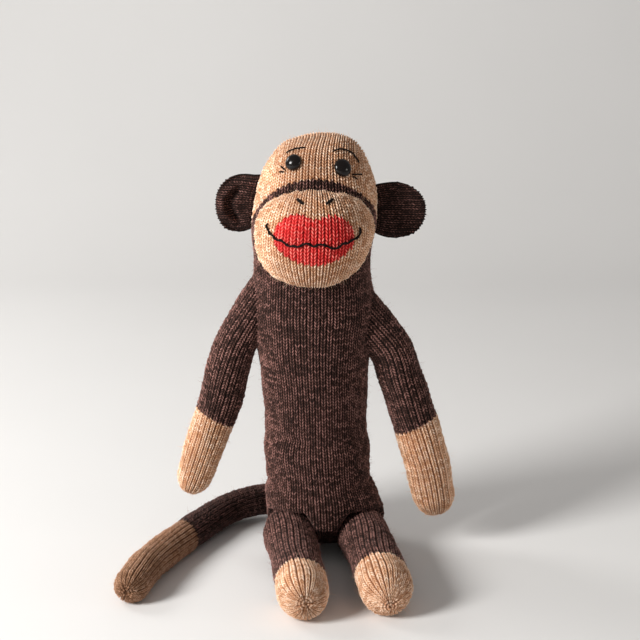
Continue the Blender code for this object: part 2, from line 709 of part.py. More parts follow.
def build_eye(side, finishes, pivot, crown, stuffing):
    """One eye with its stem and washer, the brow over it and the two lashes beside it."""
    word = "left" if side == LEFT else "right"
    lift, across = (
        (EYE_LEFT_LIFT, EYE_LEFT_ACROSS) if side == LEFT else (EYE_RIGHT_LIFT, EYE_RIGHT_ACROSS)
    )
    place = head_form.place_at(CROWN_FRONT_HEIGHT + lift)
    turn = float(head_form.turn_at(side * across, place))
    seat, normal = head_form.point(turn, place), head_form.normal(turn, place)
    dome = [
        (SKIN_GAP + EYE_DOME * math.sin(a), EYE_RADIUS * math.cos(a)) for a in np.radians((0, 20, 40, 60, 78))
    ]
    stations = [(SKIN_GAP - EYE_STEM_LENGTH, EYE_STEM_RADIUS), (SKIN_GAP, EYE_STEM_RADIUS), *dome]
    make_object("eye_" + word, *rod_mesh(seat, normal, stations, 20), finishes["black"], pivot)
    bore = EYE_STEM_RADIUS + WASHER_BORE_CLEARANCE
    hole = [(-EYE_STEM_LENGTH / 2, bore), (EYE_STEM_LENGTH / 2, bore)]
    cut(crown, make_cutter("eye_hole_" + word, *rod_mesh(seat, normal, hole, 12)))
    front, back = -WASHER_DEPTH, -WASHER_DEPTH - WASHER_THICKNESS
    sides = 16
    outside = rod_mesh(seat, normal, [(back, WASHER_RADIUS), (front, WASHER_RADIUS)], sides)[0]
    inside = rod_mesh(seat, normal, [(back, bore), (front, bore)], sides)[0]
    rings = [part[: 2 * sides].reshape(2, sides, 3) for part in (outside, inside)]
    make_object("eye_washer_" + word, *walled_mesh(*rings), finishes["washer"], pivot)
    pocket_radius = WASHER_RADIUS + STUFFING_GAP
    pocket = [(-EYE_STEM_LENGTH - STUFFING_GAP, pocket_radius), (EYE_STEM_LENGTH, pocket_radius)]
    cut(stuffing, make_cutter("eye_pocket_" + word, *rod_mesh(seat, normal, pocket, 14)))
    for name, shares in FACE_STITCH_SHARES.items():
        if word not in name:
            continue
        count = 9 if len(shares) > 2 else 4
        x, z = spline(shares, np.linspace(0, len(shares) - 1, count)).T * EYE_RADIUS
        places, normals = on_crown(turn, place, x, z, THREAD_RADIUS + SKIN_GAP)
        make_object(name, *thread_mesh(places, THREAD_RADIUS, normals), finishes["thread"], pivot)


def gather_stations():
    """The gathered roll of an ear: distances along it from its middle, and its radius there."""
    shares = np.linspace(-1, 1, 7)
    return shares * EAR_HEIGHT / 2 * EAR_GATHER_SHARE, EAR_GATHER_RADIUS * np.sqrt(1 - (0.93 * shares) ** 2)


def ear_hinge(side):
    """The middle of the seam line that an ear turns on, with its gather against the side of the head."""
    height = HEAD_BASE_HEIGHT + (EAR_LEFT_RISE if side == LEFT else EAR_RIGHT_RISE)
    along, radii = gather_stations()
    reach = (head_form.side_reach(side, height + along) + radii).max()
    return np.array([side * (reach + SKIN_GAP), 0, height])


def ear_sheet(side, offset):
    """One surface of an ear: a half round from the gather outwards, cupped towards the front."""
    width = EAR_LEFT_WIDTH if side == LEFT else EAR_RIGHT_WIDTH
    cup = EAR_LEFT_CUP if side == LEFT else EAR_RIGHT_CUP
    start = EAR_GATHER_RADIUS + SKIN_GAP
    out = np.array(EAR_OUT_SHARES)[:, None]
    turn = np.linspace(-math.pi / 2, math.pi / 2, 15)
    across = start + (width - start) * out * np.abs(np.cos(turn)) ** EAR_ROUNDNESS
    rise = EAR_HEIGHT / 2 * out * np.sin(turn)
    far = across / width
    reach = np.hypot(far, rise / (EAR_HEIGHT / 2))
    forward = cup * (far**2 + 0.35 * reach**4)
    thinning = 1 - 0.3 * reach**4
    return np.stack([side * across, offset * thinning - forward, rise + 0 * across], axis=-1)


def build_ear(side, finishes, pivot):
    """An ear's front and back layers and the gathered roll between it and the head."""
    word = "left" if side == LEFT else "right"
    hinge = np.array(pivot.location)
    half = SKIN_GAP / 2
    for layer, near, far in (("front", -half, -half - EAR_LAYER), ("back", half, half + EAR_LAYER)):
        front, back = hinge + ear_sheet(side, near), hinge + ear_sheet(side, far)
        make_object(f"ear_{word}_{layer}", *slab_mesh(front, back), finishes["brown"], pivot)
    mesh = rod_mesh(hinge, (0, 0, 1.0), list(zip(*gather_stations())), 12)
    make_object("ear_gather_" + word, *mesh, finishes["brown"], pivot)


class Limb:
    """A stuffed tube round a spine, with a ball at its root and a dome at its tip."""

    def __init__(self, spine, radius, swell_shares, up, steps, tip_share=1.15):
        dense = spline(spine, np.linspace(0, len(spine) - 1, 400))
        chords = np.linalg.norm(np.diff(dense, axis=0), axis=1)
        self.spine = dense
        self.lengths = np.concatenate([[0], np.cumsum(chords)])
        self.length = self.lengths[-1]
        self.radius = radius
        self.swell = swell_shares
        self.steps = steps
        self.up = np.array(up, float)
        self.dome = radius * tip_share

    def frame(self, along):
        """The spine's place and its directions at a distance from the root. Before the root it runs straight on."""
        inside = np.clip(along, 0, self.length)
        place = np.stack([np.interp(inside, self.lengths, self.spine[:, i]) for i in range(3)], axis=-1)
        step = self.length / 60
        low, high = np.clip(inside - step, 0, self.length), np.clip(inside + step, 0, self.length)
        ends = [
            np.stack([np.interp(value, self.lengths, self.spine[:, i]) for i in range(3)], axis=-1)
            for value in (low, high)
        ]
        way = unit(ends[1] - ends[0])
        place = place + (along - inside)[:, None] * way
        side = unit(np.cross(self.up, way))
        return place, way, side, np.cross(way, side)

    def stations(self, part, split, inset):
        """Distances along the spine and radii there, for the sleeve, the tip or the whole limb."""
        root = self.radius * self.swell[0] - inset
        straight = self.length - self.dome
        half = SKIN_GAP / 2
        along, radii = [], []
        if part != "tip":
            angles = np.radians((26, 48, 70))
            along += list(-root * np.cos(angles))
            radii += list(root * np.sin(angles))
        sleeve = np.linspace(0, split - half, self.steps)
        tip = np.linspace(split + half, straight, max(3, round(self.steps * (straight / split - 1)) + 1))
        tube = {"sleeve": sleeve, "tip": tip, "whole": np.concatenate([sleeve, tip[1:]])}[part]
        swell = np.asarray(self.swell)[:, None]
        tube_radii = self.radius * spline(swell, tube / straight * (len(swell) - 1))[:, 0] - inset
        along += list(tube)
        radii += list(tube_radii)
        if part != "sleeve":
            angles = np.radians((22, 42, 60, 76))
            last = tube_radii[-1]
            along += list(straight + (self.dome - inset) * np.sin(angles))
            radii += list(last * np.cos(angles))
        return np.array(along), np.array(radii)

    def rings(self, part, split, inset, sides):
        along, radii = self.stations(part, split, inset)
        place, _, side, other = self.frame(along)
        turns = turns_round(sides)[:, None]
        spokes = np.cos(turns) * side[:, None, :] + np.sin(turns) * other[:, None, :]
        return place[:, None, :] + radii[:, None, None] * spokes

    def pole(self, inset):
        return self.frame(np.array([self.length - inset]))[0][0]


def build_limb(names, limb, split, finishes, pivot, cutters):
    """A limb's brown sleeve, its tan tip and the stuffing in both, cut where it rests or meets the body."""
    sleeve_name, tip_name, stuffing_name = names
    wall = SKIN_WALL
    walls = [limb.rings("sleeve", split, inset, LIMB_SIDES) for inset in (0.0, wall)]
    sleeve = make_object(sleeve_name, *walled_mesh(*walls), finishes["brown"], pivot)
    walls = [limb.rings("tip", split, inset, LIMB_SIDES) for inset in (0.0, wall)]
    poles = limb.pole(0.0), limb.pole(wall)
    tip = make_object(tip_name, *walled_mesh(*walls, *poles), finishes["tan"], pivot)
    inset = wall + STUFFING_GAP
    rings = limb.rings("whole", split, inset, LIMB_SIDES // 2)
    root = limb.frame(np.array([-limb.radius * limb.swell[0] + inset]))[0][0]
    mesh = solid_mesh(rings, root, limb.pole(inset))
    stuffing = make_object(stuffing_name, *mesh, finishes["fill"], pivot)
    for item in (sleeve, tip, stuffing):
        for cutter in cutters:
            if item is not tip or cutter.name == "floor":
                cut(item, cutter)


def build_arm(side, finishes, pivot):
    word = "left" if side == LEFT else "right"
    spread, drop, radius, shares = (
        (ARM_LEFT_SPREAD, ARM_LEFT_DROP, ARM_LEFT_RADIUS, ARM_LEFT_SPINE_SHARES)
        if side == LEFT
        else (ARM_RIGHT_SPREAD, ARM_RIGHT_DROP, ARM_RIGHT_RADIUS, ARM_RIGHT_SPINE_SHARES)
    )
    shoulder = shoulder_place(side)
    spine = [shoulder + np.array([side * spread * x, 0, -drop * z]) for x, z in shares]
    limb = Limb(spine, radius, ARM_SWELL_SHARES, (0, 1, 0), ARM_STEPS)
    plane = face_plane(side)
    ends = sorted((plane, plane - side * BODY_WIDTH))
    low, high = SHOULDER_HEIGHT - drop, SHOULDER_HEIGHT + 2 * radius
    profile = [(-BODY_DEPTH, low), (BODY_DEPTH, low), (BODY_DEPTH, high), (-BODY_DEPTH, high)]
    cutter = make_cutter("shoulder_face_" + word, *prism_mesh(profile, *ends))
    names = ("arm_sleeve_" + word, "hand_" + word, "arm_stuffing_" + word)
    build_limb(names, limb, limb.length * (1 - HAND_SHARE), finishes, pivot, [cutter])


def build_leg(side, finishes, pivot, floor):
    word = "left" if side == LEFT else "right"
    length, veer, foot = (
        (LEG_LEFT_LENGTH, LEG_LEFT_VEER, FOOT_LEFT_SHARE)
        if side == LEFT
        else (LEG_RIGHT_LENGTH, LEG_RIGHT_VEER, FOOT_RIGHT_SHARE)
    )
    hip = hip_place(side)
    way = np.array([math.sin(veer), -math.cos(veer), 0])
    spine = [hip + way * length * share for share in (0.0, 0.33, 0.67, 1.0)]
    limb = Limb(spine, LEG_RADIUS, LEG_SWELL_SHARES, (0, 0, 1), LEG_STEPS, 1.0)
    names = ("leg_sleeve_" + word, "foot_" + word, "leg_stuffing_" + word)
    build_limb(names, limb, length * (1 - foot), finishes, pivot, [floor])


def build_tail(finishes, pivot, floor):
    root = tail_place()
    low = TAIL_RADIUS - REST_CUT
    spine = [
        (root[0] - TAIL_REACH * x, root[1] - TAIL_FORWARD_REACH * y, low + (root[2] - low) * z)
        for (x, y), z in zip(TAIL_SPINE_SHARES, TAIL_HEIGHT_SHARES)
    ]
    limb = Limb(spine, TAIL_RADIUS, TAIL_SWELL_SHARES, (0, 0, 1), TAIL_STEPS)
    names = ("tail_sleeve", "tail_tip", "tail_stuffing")
    build_limb(names, limb, limb.length * (1 - TAIL_TIP_SHARE), finishes, pivot, [floor])


def build_floor_cutter():
    """All below the surface that the doll sits on."""
    reach = LEG_LEFT_LENGTH + TAIL_FORWARD_REACH
    profile = [(-reach, -CUT_OVERRUN), (reach, -CUT_OVERRUN), (reach, 0.0), (-reach, 0.0)]
    return make_cutter("floor", *prism_mesh(profile, -reach, reach))


def tail_clearance(name, more=0.0):
    radius = TAIL_RADIUS * TAIL_SWELL_SHARES[0] + SKIN_GAP + more
    stations = [(-radius * math.cos(a), radius * math.sin(a)) for a in np.radians(np.arange(15, 180, 15))]
    return make_cutter(name, *rod_mesh(tail_place(), (0, 1.0, 0), stations, 24))


def main():
    clear_scene()
    finishes = {
        "brown": make_material("brown_knit", BROWN, 0.95, 0.3),
        "tan": make_material("tan_knit", TAN, 0.95, 0.3),
        "red": make_material("red_knit", RED, 0.95, 0.3),
        "fill": make_material("fibre_fill", FILL, 1.0),
        "thread": make_material("black_thread", BLACK, 0.8),
        "black": make_material("eye_plastic", BLACK, 0.12),
        "washer": make_material("washer_plastic", WASHER_WHITE, 0.5),
    }
    floor = build_floor_cutter()
    build_body(finishes)
    head = make_empty("neck_pivot", (head_form.rows[0][3], 0, NECK_PIVOT_HEIGHT))
    crown, stuffing = build_head(finishes, head)
    build_muzzle(finishes, head)
    build_mouth(finishes, head)
    for side, word in ((LEFT, "left"), (RIGHT, "right")):
        build_eye(side, finishes, head, crown, stuffing)
        build_ear(side, finishes, make_empty("ear_pivot_" + word, ear_hinge(side)))
        build_arm(side, finishes, make_empty("shoulder_pivot_" + word, shoulder_place(side)))
        build_leg(side, finishes, make_empty("hip_pivot_" + word, hip_place(side)), floor)
    build_tail(finishes, make_empty("tail_pivot", tail_place()), floor)


main()
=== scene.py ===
"""Sock monkey doll, sitting: its knitted cloth, stuffing, threads, eyes and studio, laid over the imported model.

Metres, +Z up, the face towards -Y. Left and right are as seen from the front.
"""

import json
import math

import bpy
import numpy as np
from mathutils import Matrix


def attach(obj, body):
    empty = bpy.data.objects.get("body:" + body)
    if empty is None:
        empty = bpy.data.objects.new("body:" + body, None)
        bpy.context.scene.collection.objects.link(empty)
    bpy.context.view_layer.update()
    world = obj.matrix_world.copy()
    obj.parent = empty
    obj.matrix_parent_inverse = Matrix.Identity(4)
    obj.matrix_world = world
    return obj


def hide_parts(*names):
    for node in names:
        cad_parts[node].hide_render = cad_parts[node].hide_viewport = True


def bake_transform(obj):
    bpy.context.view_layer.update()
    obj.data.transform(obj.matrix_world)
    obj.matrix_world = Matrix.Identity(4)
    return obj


bl_info = {
    "name": "Sock Monkey Doll",
    "version": (1, 0, 0),
    "blender": (4, 5, 0),
    "location": "View3D > Sidebar > Sock Monkey",
    "description": "Knits, stuffs and sews a sock monkey doll over its packed model",
    "category": "Object",
}

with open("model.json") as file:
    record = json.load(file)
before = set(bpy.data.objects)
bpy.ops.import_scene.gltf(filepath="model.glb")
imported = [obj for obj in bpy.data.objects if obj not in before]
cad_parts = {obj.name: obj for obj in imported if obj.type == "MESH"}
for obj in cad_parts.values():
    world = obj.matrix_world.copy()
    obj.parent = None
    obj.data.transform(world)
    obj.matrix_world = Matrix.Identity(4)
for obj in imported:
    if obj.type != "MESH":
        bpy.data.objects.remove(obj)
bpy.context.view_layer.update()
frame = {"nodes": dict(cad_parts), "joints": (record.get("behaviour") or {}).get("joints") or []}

LEFT, RIGHT = -1, 1
SIDES = {LEFT: "left", RIGHT: "right"}

# Driving sizes of the doll, as in the part's source
BODY_WIDTH = 0.0946
BODY_DEPTH = 0.076
BODY_HEIGHT = 0.232
HEAD_WIDTH = 0.0947
HEAD_DEPTH = 0.088
HEAD_HEIGHT = 0.1364
HEAD_BASE_HEIGHT = 0.2
CROWN_SIDE_HEIGHT = 0.262
CROWN_FRONT_HEIGHT = 0.309
CROWN_BACK_RISE = 0.008
CROWN_ARCH_SHARE = 0.8
MUZZLE_WIDTH = 0.0888
MUZZLE_HEIGHT = 0.0746
MUZZLE_CENTRE_HEIGHT = 0.2633
MUZZLE_BULGE = 0.0215
MUZZLE_HALF_TURN = math.asin(MUZZLE_WIDTH / HEAD_WIDTH)
NOSTRIL_LENGTH = 0.0044
NOSTRIL_SLOPE = math.radians(38)
NOSTRIL_SPACING = 0.0162
NOSTRIL_RISE = 0.0302
EYE_RADIUS = 0.0059
EYE_DOME = 0.0044
EYE_FULLNESS = {LEFT: 1.07, RIGHT: 1.16}
EYE_STEM_RADIUS = 0.0016
EYE_STEM_LENGTH = 0.0095
EYE_ACROSS = {LEFT: 0.0171, RIGHT: 0.0177}
EYE_LIFT = {LEFT: 0.0095, RIGHT: 0.0059}
EAR_HEIGHT = 0.044
EAR_WIDTH = {LEFT: 0.0262, RIGHT: 0.0354}
EAR_CUP = {LEFT: 0.0085, RIGHT: 0.0035}
EAR_SLOPE = {LEFT: 1.0, RIGHT: 0.6}
EAR_TOP = {LEFT: 1.0, RIGHT: 0.93}
EAR_LAYER = 0.0019
ARM_RADIUS = {LEFT: 0.0156, RIGHT: 0.0172}
ARM_SPREAD = {LEFT: 0.056, RIGHT: 0.0551}
ARM_DROP = {LEFT: 0.1514, RIGHT: 0.169}
HAND_SHARE = 0.44
LEG_RADIUS = 0.0198
LEG_LENGTH = {LEFT: 0.1296, RIGHT: 0.1215}
LEG_VEER = {LEFT: math.radians(7.9), RIGHT: math.radians(10)}
FOOT_SHARE = {LEFT: 0.3, RIGHT: 0.33}
CROTCH_WIDTH = 0.0184
CROTCH_DEPTH = 0.03
TAIL_RADIUS = 0.0126
TAIL_REACH = 0.1365
TAIL_FORWARD_REACH = 0.161
TAIL_TIP_SHARE = 0.455
SKIN_WALL = 0.0018
STUFFING_GAP = 0.0006

# Height, half width, half depth and sideways shift, as shares of the body's height, half width, half depth and width
BODY_SHARES = (
    (0.0, 0.72, 0.74, 0.032),
    (0.021, 0.835, 0.885, 0.032),
    (0.06, 0.905, 0.975, 0.032),
    (0.129, 0.92, 1.0, 0.032),
    (0.224, 0.892, 1.0, 0.019),
    (0.323, 0.858, 0.953, 0.0),
    (0.397, 0.848, 0.921, -0.011),
    (0.534, 0.846, 0.895, -0.017),
    (0.647, 0.884, 0.911, -0.027),
    (0.733, 0.93, 0.932, -0.033),
    (0.819, 0.979, 0.947, -0.032),
    (0.888, 1.0, 0.953, -0.029),
)
# The same for the head, from the neck to the top of the crown
HEAD_SHARES = (
    (0.0, 0.997, 0.818, -0.029),
    (0.095, 0.988, 0.836, -0.029),
    (0.19, 0.974, 0.87, -0.03),
    (0.279, 0.969, 0.916, -0.03),
    (0.389, 0.984, 0.973, -0.029),
    (0.521, 1.0, 1.0, -0.023),
    (0.623, 0.986, 0.991, -0.019),
    (0.733, 0.927, 0.939, -0.018),
    (0.814, 0.845, 0.864, -0.018),
    (0.88, 0.724, 0.773, -0.015),
    (0.931, 0.57, 0.636, -0.006),
    (0.971, 0.38, 0.443, 0.01),
    (0.993, 0.19, 0.227, 0.025),
    (1.0, 0.0, 0.0, 0.03),
)
NECK_ROWS_SKIPPED = 2
ARM_SWELL_SHARES = {
    LEFT: (1.04, 1.05, 1.04, 1.05, 1.06, 1.03, 0.97, 0.86),
    RIGHT: (1.03, 0.99, 0.97, 0.99, 1.0, 1.03, 1.02, 0.96),
}
LEG_SWELL_SHARES = {
    LEFT: (1.0, 0.98, 0.955, 0.94, 0.935, 0.945, 0.955, 0.94),
    RIGHT: (1.0, 0.98, 0.955, 0.945, 0.95, 0.97, 0.985, 0.975),
}
TAIL_SWELL_SHARES = (1.0, 0.97, 0.95, 0.96, 0.99, 1.0, 1.02, 1.0)
TAIL_SPINE_SHARES = ((0.0, 0.0), (0.275, -0.068), (0.515, 0.006), (0.705, 0.278), (0.91, 0.668), (1.0, 1.0))
TAIL_HEIGHT_SHARES = (1.0, 0.56, 0.14, 0.03, 0.0, 0.0)
LIPS_EDGE_SHARES = (
    (0.505, 0.545, 0.59, 0.602, 0.497, 0.632, 0.622, 0.586)
    + (0.53, 0.463, 0.43, 0.415, 0.41, 0.415, 0.43, 0.458, 0.505)
)
MOUTH_SHARES = (
    ((-0.609, 0.358), (-0.624, 0.291), (-0.554, 0.161), (-0.478, 0.106), (-0.373, 0.056))
    + ((-0.274, -0.01), (-0.191, 0.01), (-0.072, 0.06), (0.009, 0.02), (0.117, 0.05))
    + ((0.211, -0.04), (0.305, -0.015), (0.382, 0.036), (0.453, 0.057), (0.541, 0.108))
    + ((0.598, 0.195), (0.582, 0.3))
)
FACE_STITCH_SHARES = {
    "brow_left": ((-1.9, 1.17), (-0.96, 1.94), (0.64, 2.32)),
    "brow_right": ((-0.58, 2.35), (0.87, 2.46), (2.27, 1.73), (2.81, 0.44)),
    "lash_left_upper": ((-0.9, -1.01), (-1.71, -0.63)),
    "lash_left_lower": ((-0.9, -1.29), (-1.62, -1.4)),
    "lash_right_upper": ((1.15, -0.95), (2.6, -1.15)),
    "lash_right_lower": ((1.15, -1.24), (1.68, -1.66)),
}

# The knitting: how finely a stitch is modelled, how many ribs go round each tube and how finely a path is read
STITCH_COLUMNS = 6
STITCH_ROWS = 3
SOCK_WALES = 58
MUZZLE_WALES = 23
ARM_WALES = 21
LEG_WALES = 27
TAIL_WALES = 22
EAR_WALES = 12
PATH_STEPS = 260
# Length of the stuffing's lumps, and width of the side seam of the toe
LUMP_LENGTH = 0.034
SEAM_WIDTH = 0.003
# The gathered ends of the limbs: share of a path left out there, number of folds, and their width and depth
LIMB_TRIM = 0.004
LIMB_FOLDS = 7
PUCKER_WIDTH = 0.0075
PUCKER_DEPTH = 0.0021
# How far the stuffing lies in the cloth, and the lowest that anything lies
FILL_INSET = SKIN_WALL + 2 * STUFFING_GAP
REST_LIFT = 0.0003
# Threads: sides of their section, lengths of a turn of the twist, of a stitch and of the mouth's sway, and radii
THREAD_SIDES = 10
THREAD_TWIST = 0.0036
STITCH_RUN = 0.0062
STITCH_SWAY = 0.0093
MOUTH_THREAD_RADIUS = 0.00074
NOSTRIL_THREAD_RADIUS = 0.0011
BROW_THREAD_RADIUS = 0.00058
# The camera, 15 degrees above the level, and the lamps: name, place, target, size, power and colour
CAMERA_PLACE = (0.002, -1.132, 0.4933)
CAMERA_ELEVATION = 15
CAMERA_LENS = 84.375
CAMERA_SENSOR = 36
LAMPS = (
    ("key", (-1.34, -0.9, 0.93), (0.0, 0.0, 0.17), 0.65, 39.0, (1.0, 0.985, 0.96)),
    ("fill", (1.5, -0.6, 0.45), (0.0, 0.0, 0.15), 0.35, 2.0, (1.0, 0.94, 0.87)),
    ("rim", (-1.1, 0.6, 0.9), (0.0, 0.0, 0.2), 0.6, 6.0, (1.0, 0.98, 0.96)),
)
WORLD_COLOUR, WORLD_STRENGTH = (1.0, 0.97, 0.94, 1), 0.27
# Radius of the sweep's bend, where the bend starts, how high the backdrop ends, and half of the width
SWEEP_RADIUS, SWEEP_BACK, SWEEP_TOP, SWEEP_HALF = 0.7, 0.9, 3.0, 3.5

# How the stuffed cloth differs from the plain tubes of the model: places of the arms' and legs' middle lines, from
# the shoulder or hip outwards and upwards, or along the leg, and shapes of the body's cloth
ARM_LINE = {
    LEFT: (
        ((-0.0097, 0.0174), (0.0044, -0.0031), (0.0165, -0.0245), (0.0238, -0.0473))
        + ((0.0298, -0.0705), (0.0372, -0.0935), (0.0458, -0.118), (0.0572, -0.1508))
    ),
    RIGHT: (
        ((-0.0121, 0.005), (0.0035, -0.0135), (0.0165, -0.0305), (0.024, -0.053))
        + ((0.0325, -0.078), (0.0405, -0.103), (0.048, -0.132), (0.0551, -0.169))
    ),
}
LEG_SHIFT = {LEFT: 0.0032, RIGHT: 0.0042}
LEG_TWIST = {LEFT: 0.0, RIGHT: 0.35}
FOOT_DROP = {LEFT: 0.0, RIGHT: 0.007}
TAIL_TIP_SHIFT = 0.0045
HIP_SWELL = 0.0066
CROWN_RISE = {LEFT: 0.0004, RIGHT: 0.0038}
STRIPE_NARROWING = 0.0018
HEAD_LEAN = 0.0017
CROWN_SLOPE = 0.0016
SIDE_DRAW = 0.0027
MUZZLE_SLACK = 0.0022
BELLY_HEIGHT = 0.029
CROWN_DRAW = 0.2
TOE_START_SHARE = 0.53
# Height, depth and half width of the creases that go round the body
CREASES = ((0.0975, 0.0023, 0.0035), (0.060, 0.0021, 0.0035), (0.2085, 0.0011, 0.004))
CREASE_RING = 0.1


def size_property(name, description, value, unit="LENGTH"):
    return bpy.props.FloatProperty(name=name, description=description, default=value, unit=unit)


class DollSizes(bpy.types.PropertyGroup):
    course: size_property("Course height", "Height of one row of stitches", 0.0023)
    slant: size_property("Stitch slant", "Rise of a stitch's legs, in rows of stitches", 1.35, "NONE")
    yarn: size_property("Yarn relief", "How far a stitch stands out of the cloth", 0.0015)
    rib: size_property("Rib depth", "Depth of the valley between two ribs", 0.0006)
    lump: size_property("Stuffing lumps", "How far the stuffing shows through", 0.0005)
    fuzz_length: size_property("Fuzz length", "Length of the stray fibres", 0.0025)
    fuzz_density: size_property("Fuzz density", "Stray fibres on one square centimetre", 13.0, "NONE")


def colour_property(name, description, value):
    return bpy.props.FloatVectorProperty(
        name=name, description=description, default=value, size=3, subtype="COLOR", min=0, max=1
    )


class DollColours(bpy.types.PropertyGroup):
    brown: colour_property("Brown", "The dark yarn of the sock", (0.024, 0.0092, 0.0062))
    brown_fleck: colour_property("Brown fleck", "The pale strands in the brown yarn", (0.345, 0.172, 0.148))
    tan: colour_property("Tan", "The tan yarn of toe and heel", (0.76, 0.36, 0.18))
    tan_fleck: colour_property("Tan fleck", "The pale strands in the tan yarn", (0.97, 0.76, 0.6))
    # Painted shade: darker pale strands for the tail's tan tip, which lies in shade.
    tail_shade_fleck: colour_property("Tail fleck", "The pale strands in the tan yarn of the tail", (0.5, 0.3, 0.2))
    red: colour_property("Red", "The red yarn of the lips", (0.80, 0.026, 0.026))
    red_fleck: colour_property("Red fleck", "The pale strands in the red yarn", (1.0, 0.27, 0.22))
    thread: colour_property("Thread", "The black sewing thread", (0.007, 0.0055, 0.005))
    eye: colour_property("Eye", "The plastic of the eyes", (0.006, 0.004, 0.0035))
    fill: colour_property("Fill", "The fibre fill", (0.82, 0.80, 0.76))
    backdrop: colour_property("Backdrop", "Floor and backdrop of the studio", (0.82, 0.815, 0.81))


def sizes():
    return bpy.context.scene.sock_doll_sizes


def colours():
    return bpy.context.scene.sock_doll_colours


def spline(rows, at):
    """A smooth curve through the rows at whole numbers, read at the given places: cubics with the rows' slopes."""
    rows = np.asarray(rows, float)
    at = np.clip(np.asarray(at, float), 0, len(rows) - 1)
    slopes = np.gradient(rows, axis=0)
    low = np.minimum(at.astype(int), len(rows) - 2)
    t = (at - low)[..., None]
    return (
        (2 * t**3 - 3 * t**2 + 1) * rows[low]
        + (t**3 - 2 * t**2 + t) * slopes[low]
        + (3 * t**2 - 2 * t**3) * rows[low + 1]
        + (t**3 - t**2) * slopes[low + 1]
    )


def unit(vectors):
    length = np.linalg.norm(vectors, axis=-1, keepdims=True)
    return vectors / np.maximum(length, 1e-12)


def smoothstep(low, high, value):
    t = np.clip((np.asarray(value) - low) / (high - low), 0, 1)
    return t * t * (3 - 2 * t)


def bump(value, centre, width, power=2):
    """exp(-((value - centre) / width)**power): 1 at the centre, and near 0 beyond twice the width."""
    return np.exp(-(((value - centre) / width) ** power))


def run_along(path):
    """Distances along a path from its start."""
    return np.concatenate([[0], np.cumsum(np.linalg.norm(np.diff(path, axis=0), axis=1))])


def joint_place(name):
    return np.array(next(joint["pos_m"] for joint in frame["joints"] if joint["name"] == name))


class Form:
    """A stuffed tube of oval sections: x = shift + half width * sin(turn), y = -half depth * cos(turn), z = height."""

    def __init__(self, rows):
        self.rows = np.asarray(rows, float)
        self.last = len(self.rows) - 1

    def sections(self, place):
        """Height, half width, half depth and shift at a place."""
        section = spline(self.rows, place)
        section[..., 1:3] = np.maximum(section[..., 1:3], 0)
        return section

    def point(self, turn, place):
        section = self.sections(np.asarray(place, float) + 0 * turn)
        across = section[..., 3] + section[..., 1] * np.sin(turn)
        return np.stack([across, -section[..., 2] * np.cos(turn), section[..., 0]], axis=-1)

    def normal(self, turn, place):
        step = self.last / 1000
        around = self.point(turn + step, place) - self.point(turn - step, place)
        along = self.point(turn, place + step) - self.point(turn, place - step)
        return unit(np.cross(around, along))

    def place_at(self, height):
        places = np.linspace(0, self.last, 2001)
        return np.interp(height, spline(self.rows, places)[:, 0], places)


def scaled_rows(shares, width, depth, base, height):
    return np.asarray(shares) * [height, width / 2, depth / 2, width] + [base, 0, 0, 0]


BODY_ROWS = scaled_rows(BODY_SHARES, BODY_WIDTH, BODY_DEPTH, 0.0, BODY_HEIGHT)
HEAD_ROWS = scaled_rows(HEAD_SHARES, HEAD_WIDTH, HEAD_DEPTH, HEAD_BASE_HEIGHT, HEAD_HEIGHT)
head_form = Form(HEAD_ROWS)
sock_form = Form(np.concatenate([BODY_ROWS, HEAD_ROWS[NECK_ROWS_SKIPPED:]]))


# Knitted cloth


def waves(points, length, seed):
    """Smooth bumps between -1 and 1: the mean of five sine waves in seeded directions."""
    rng = np.random.default_rng(seed)
    ways = unit(rng.normal(size=(5, 3))) * (2 * math.pi / length) * rng.uniform(0.7, 1.4, (5, 1))
    return np.sin(points @ ways.T + rng.uniform(0, 2 * math.pi, 5)).mean(axis=-1) * 1.6


def resample(paths, shares):
    """Reads each column's path at shares of its own length. Paths are steps by columns, shares are rows by columns."""
    steps = np.linalg.norm(np.diff(paths, axis=0), axis=2)
    run = np.concatenate([np.zeros((1, paths.shape[1])), np.cumsum(steps, axis=0)])
    offset = 2.0 * np.arange(paths.shape[1])
    flat = (run / run[-1] + offset).T.ravel()
    wanted = np.clip(shares, 0, 1) + offset
    return np.stack([np.interp(wanted, flat, paths[..., i].T.ravel()) for i in range(3)], axis=-1)


def normals_of(points, closed):
    """Square to the surface: the cross product of the steps to the neighbouring columns and rows."""
    if closed:
        around = np.roll(points, -1, axis=1) - np.roll(points, 1, axis=1)
    else:
        around = np.gradient(points, axis=1)
    return unit(np.cross(around, np.gradient(points, axis=0)))


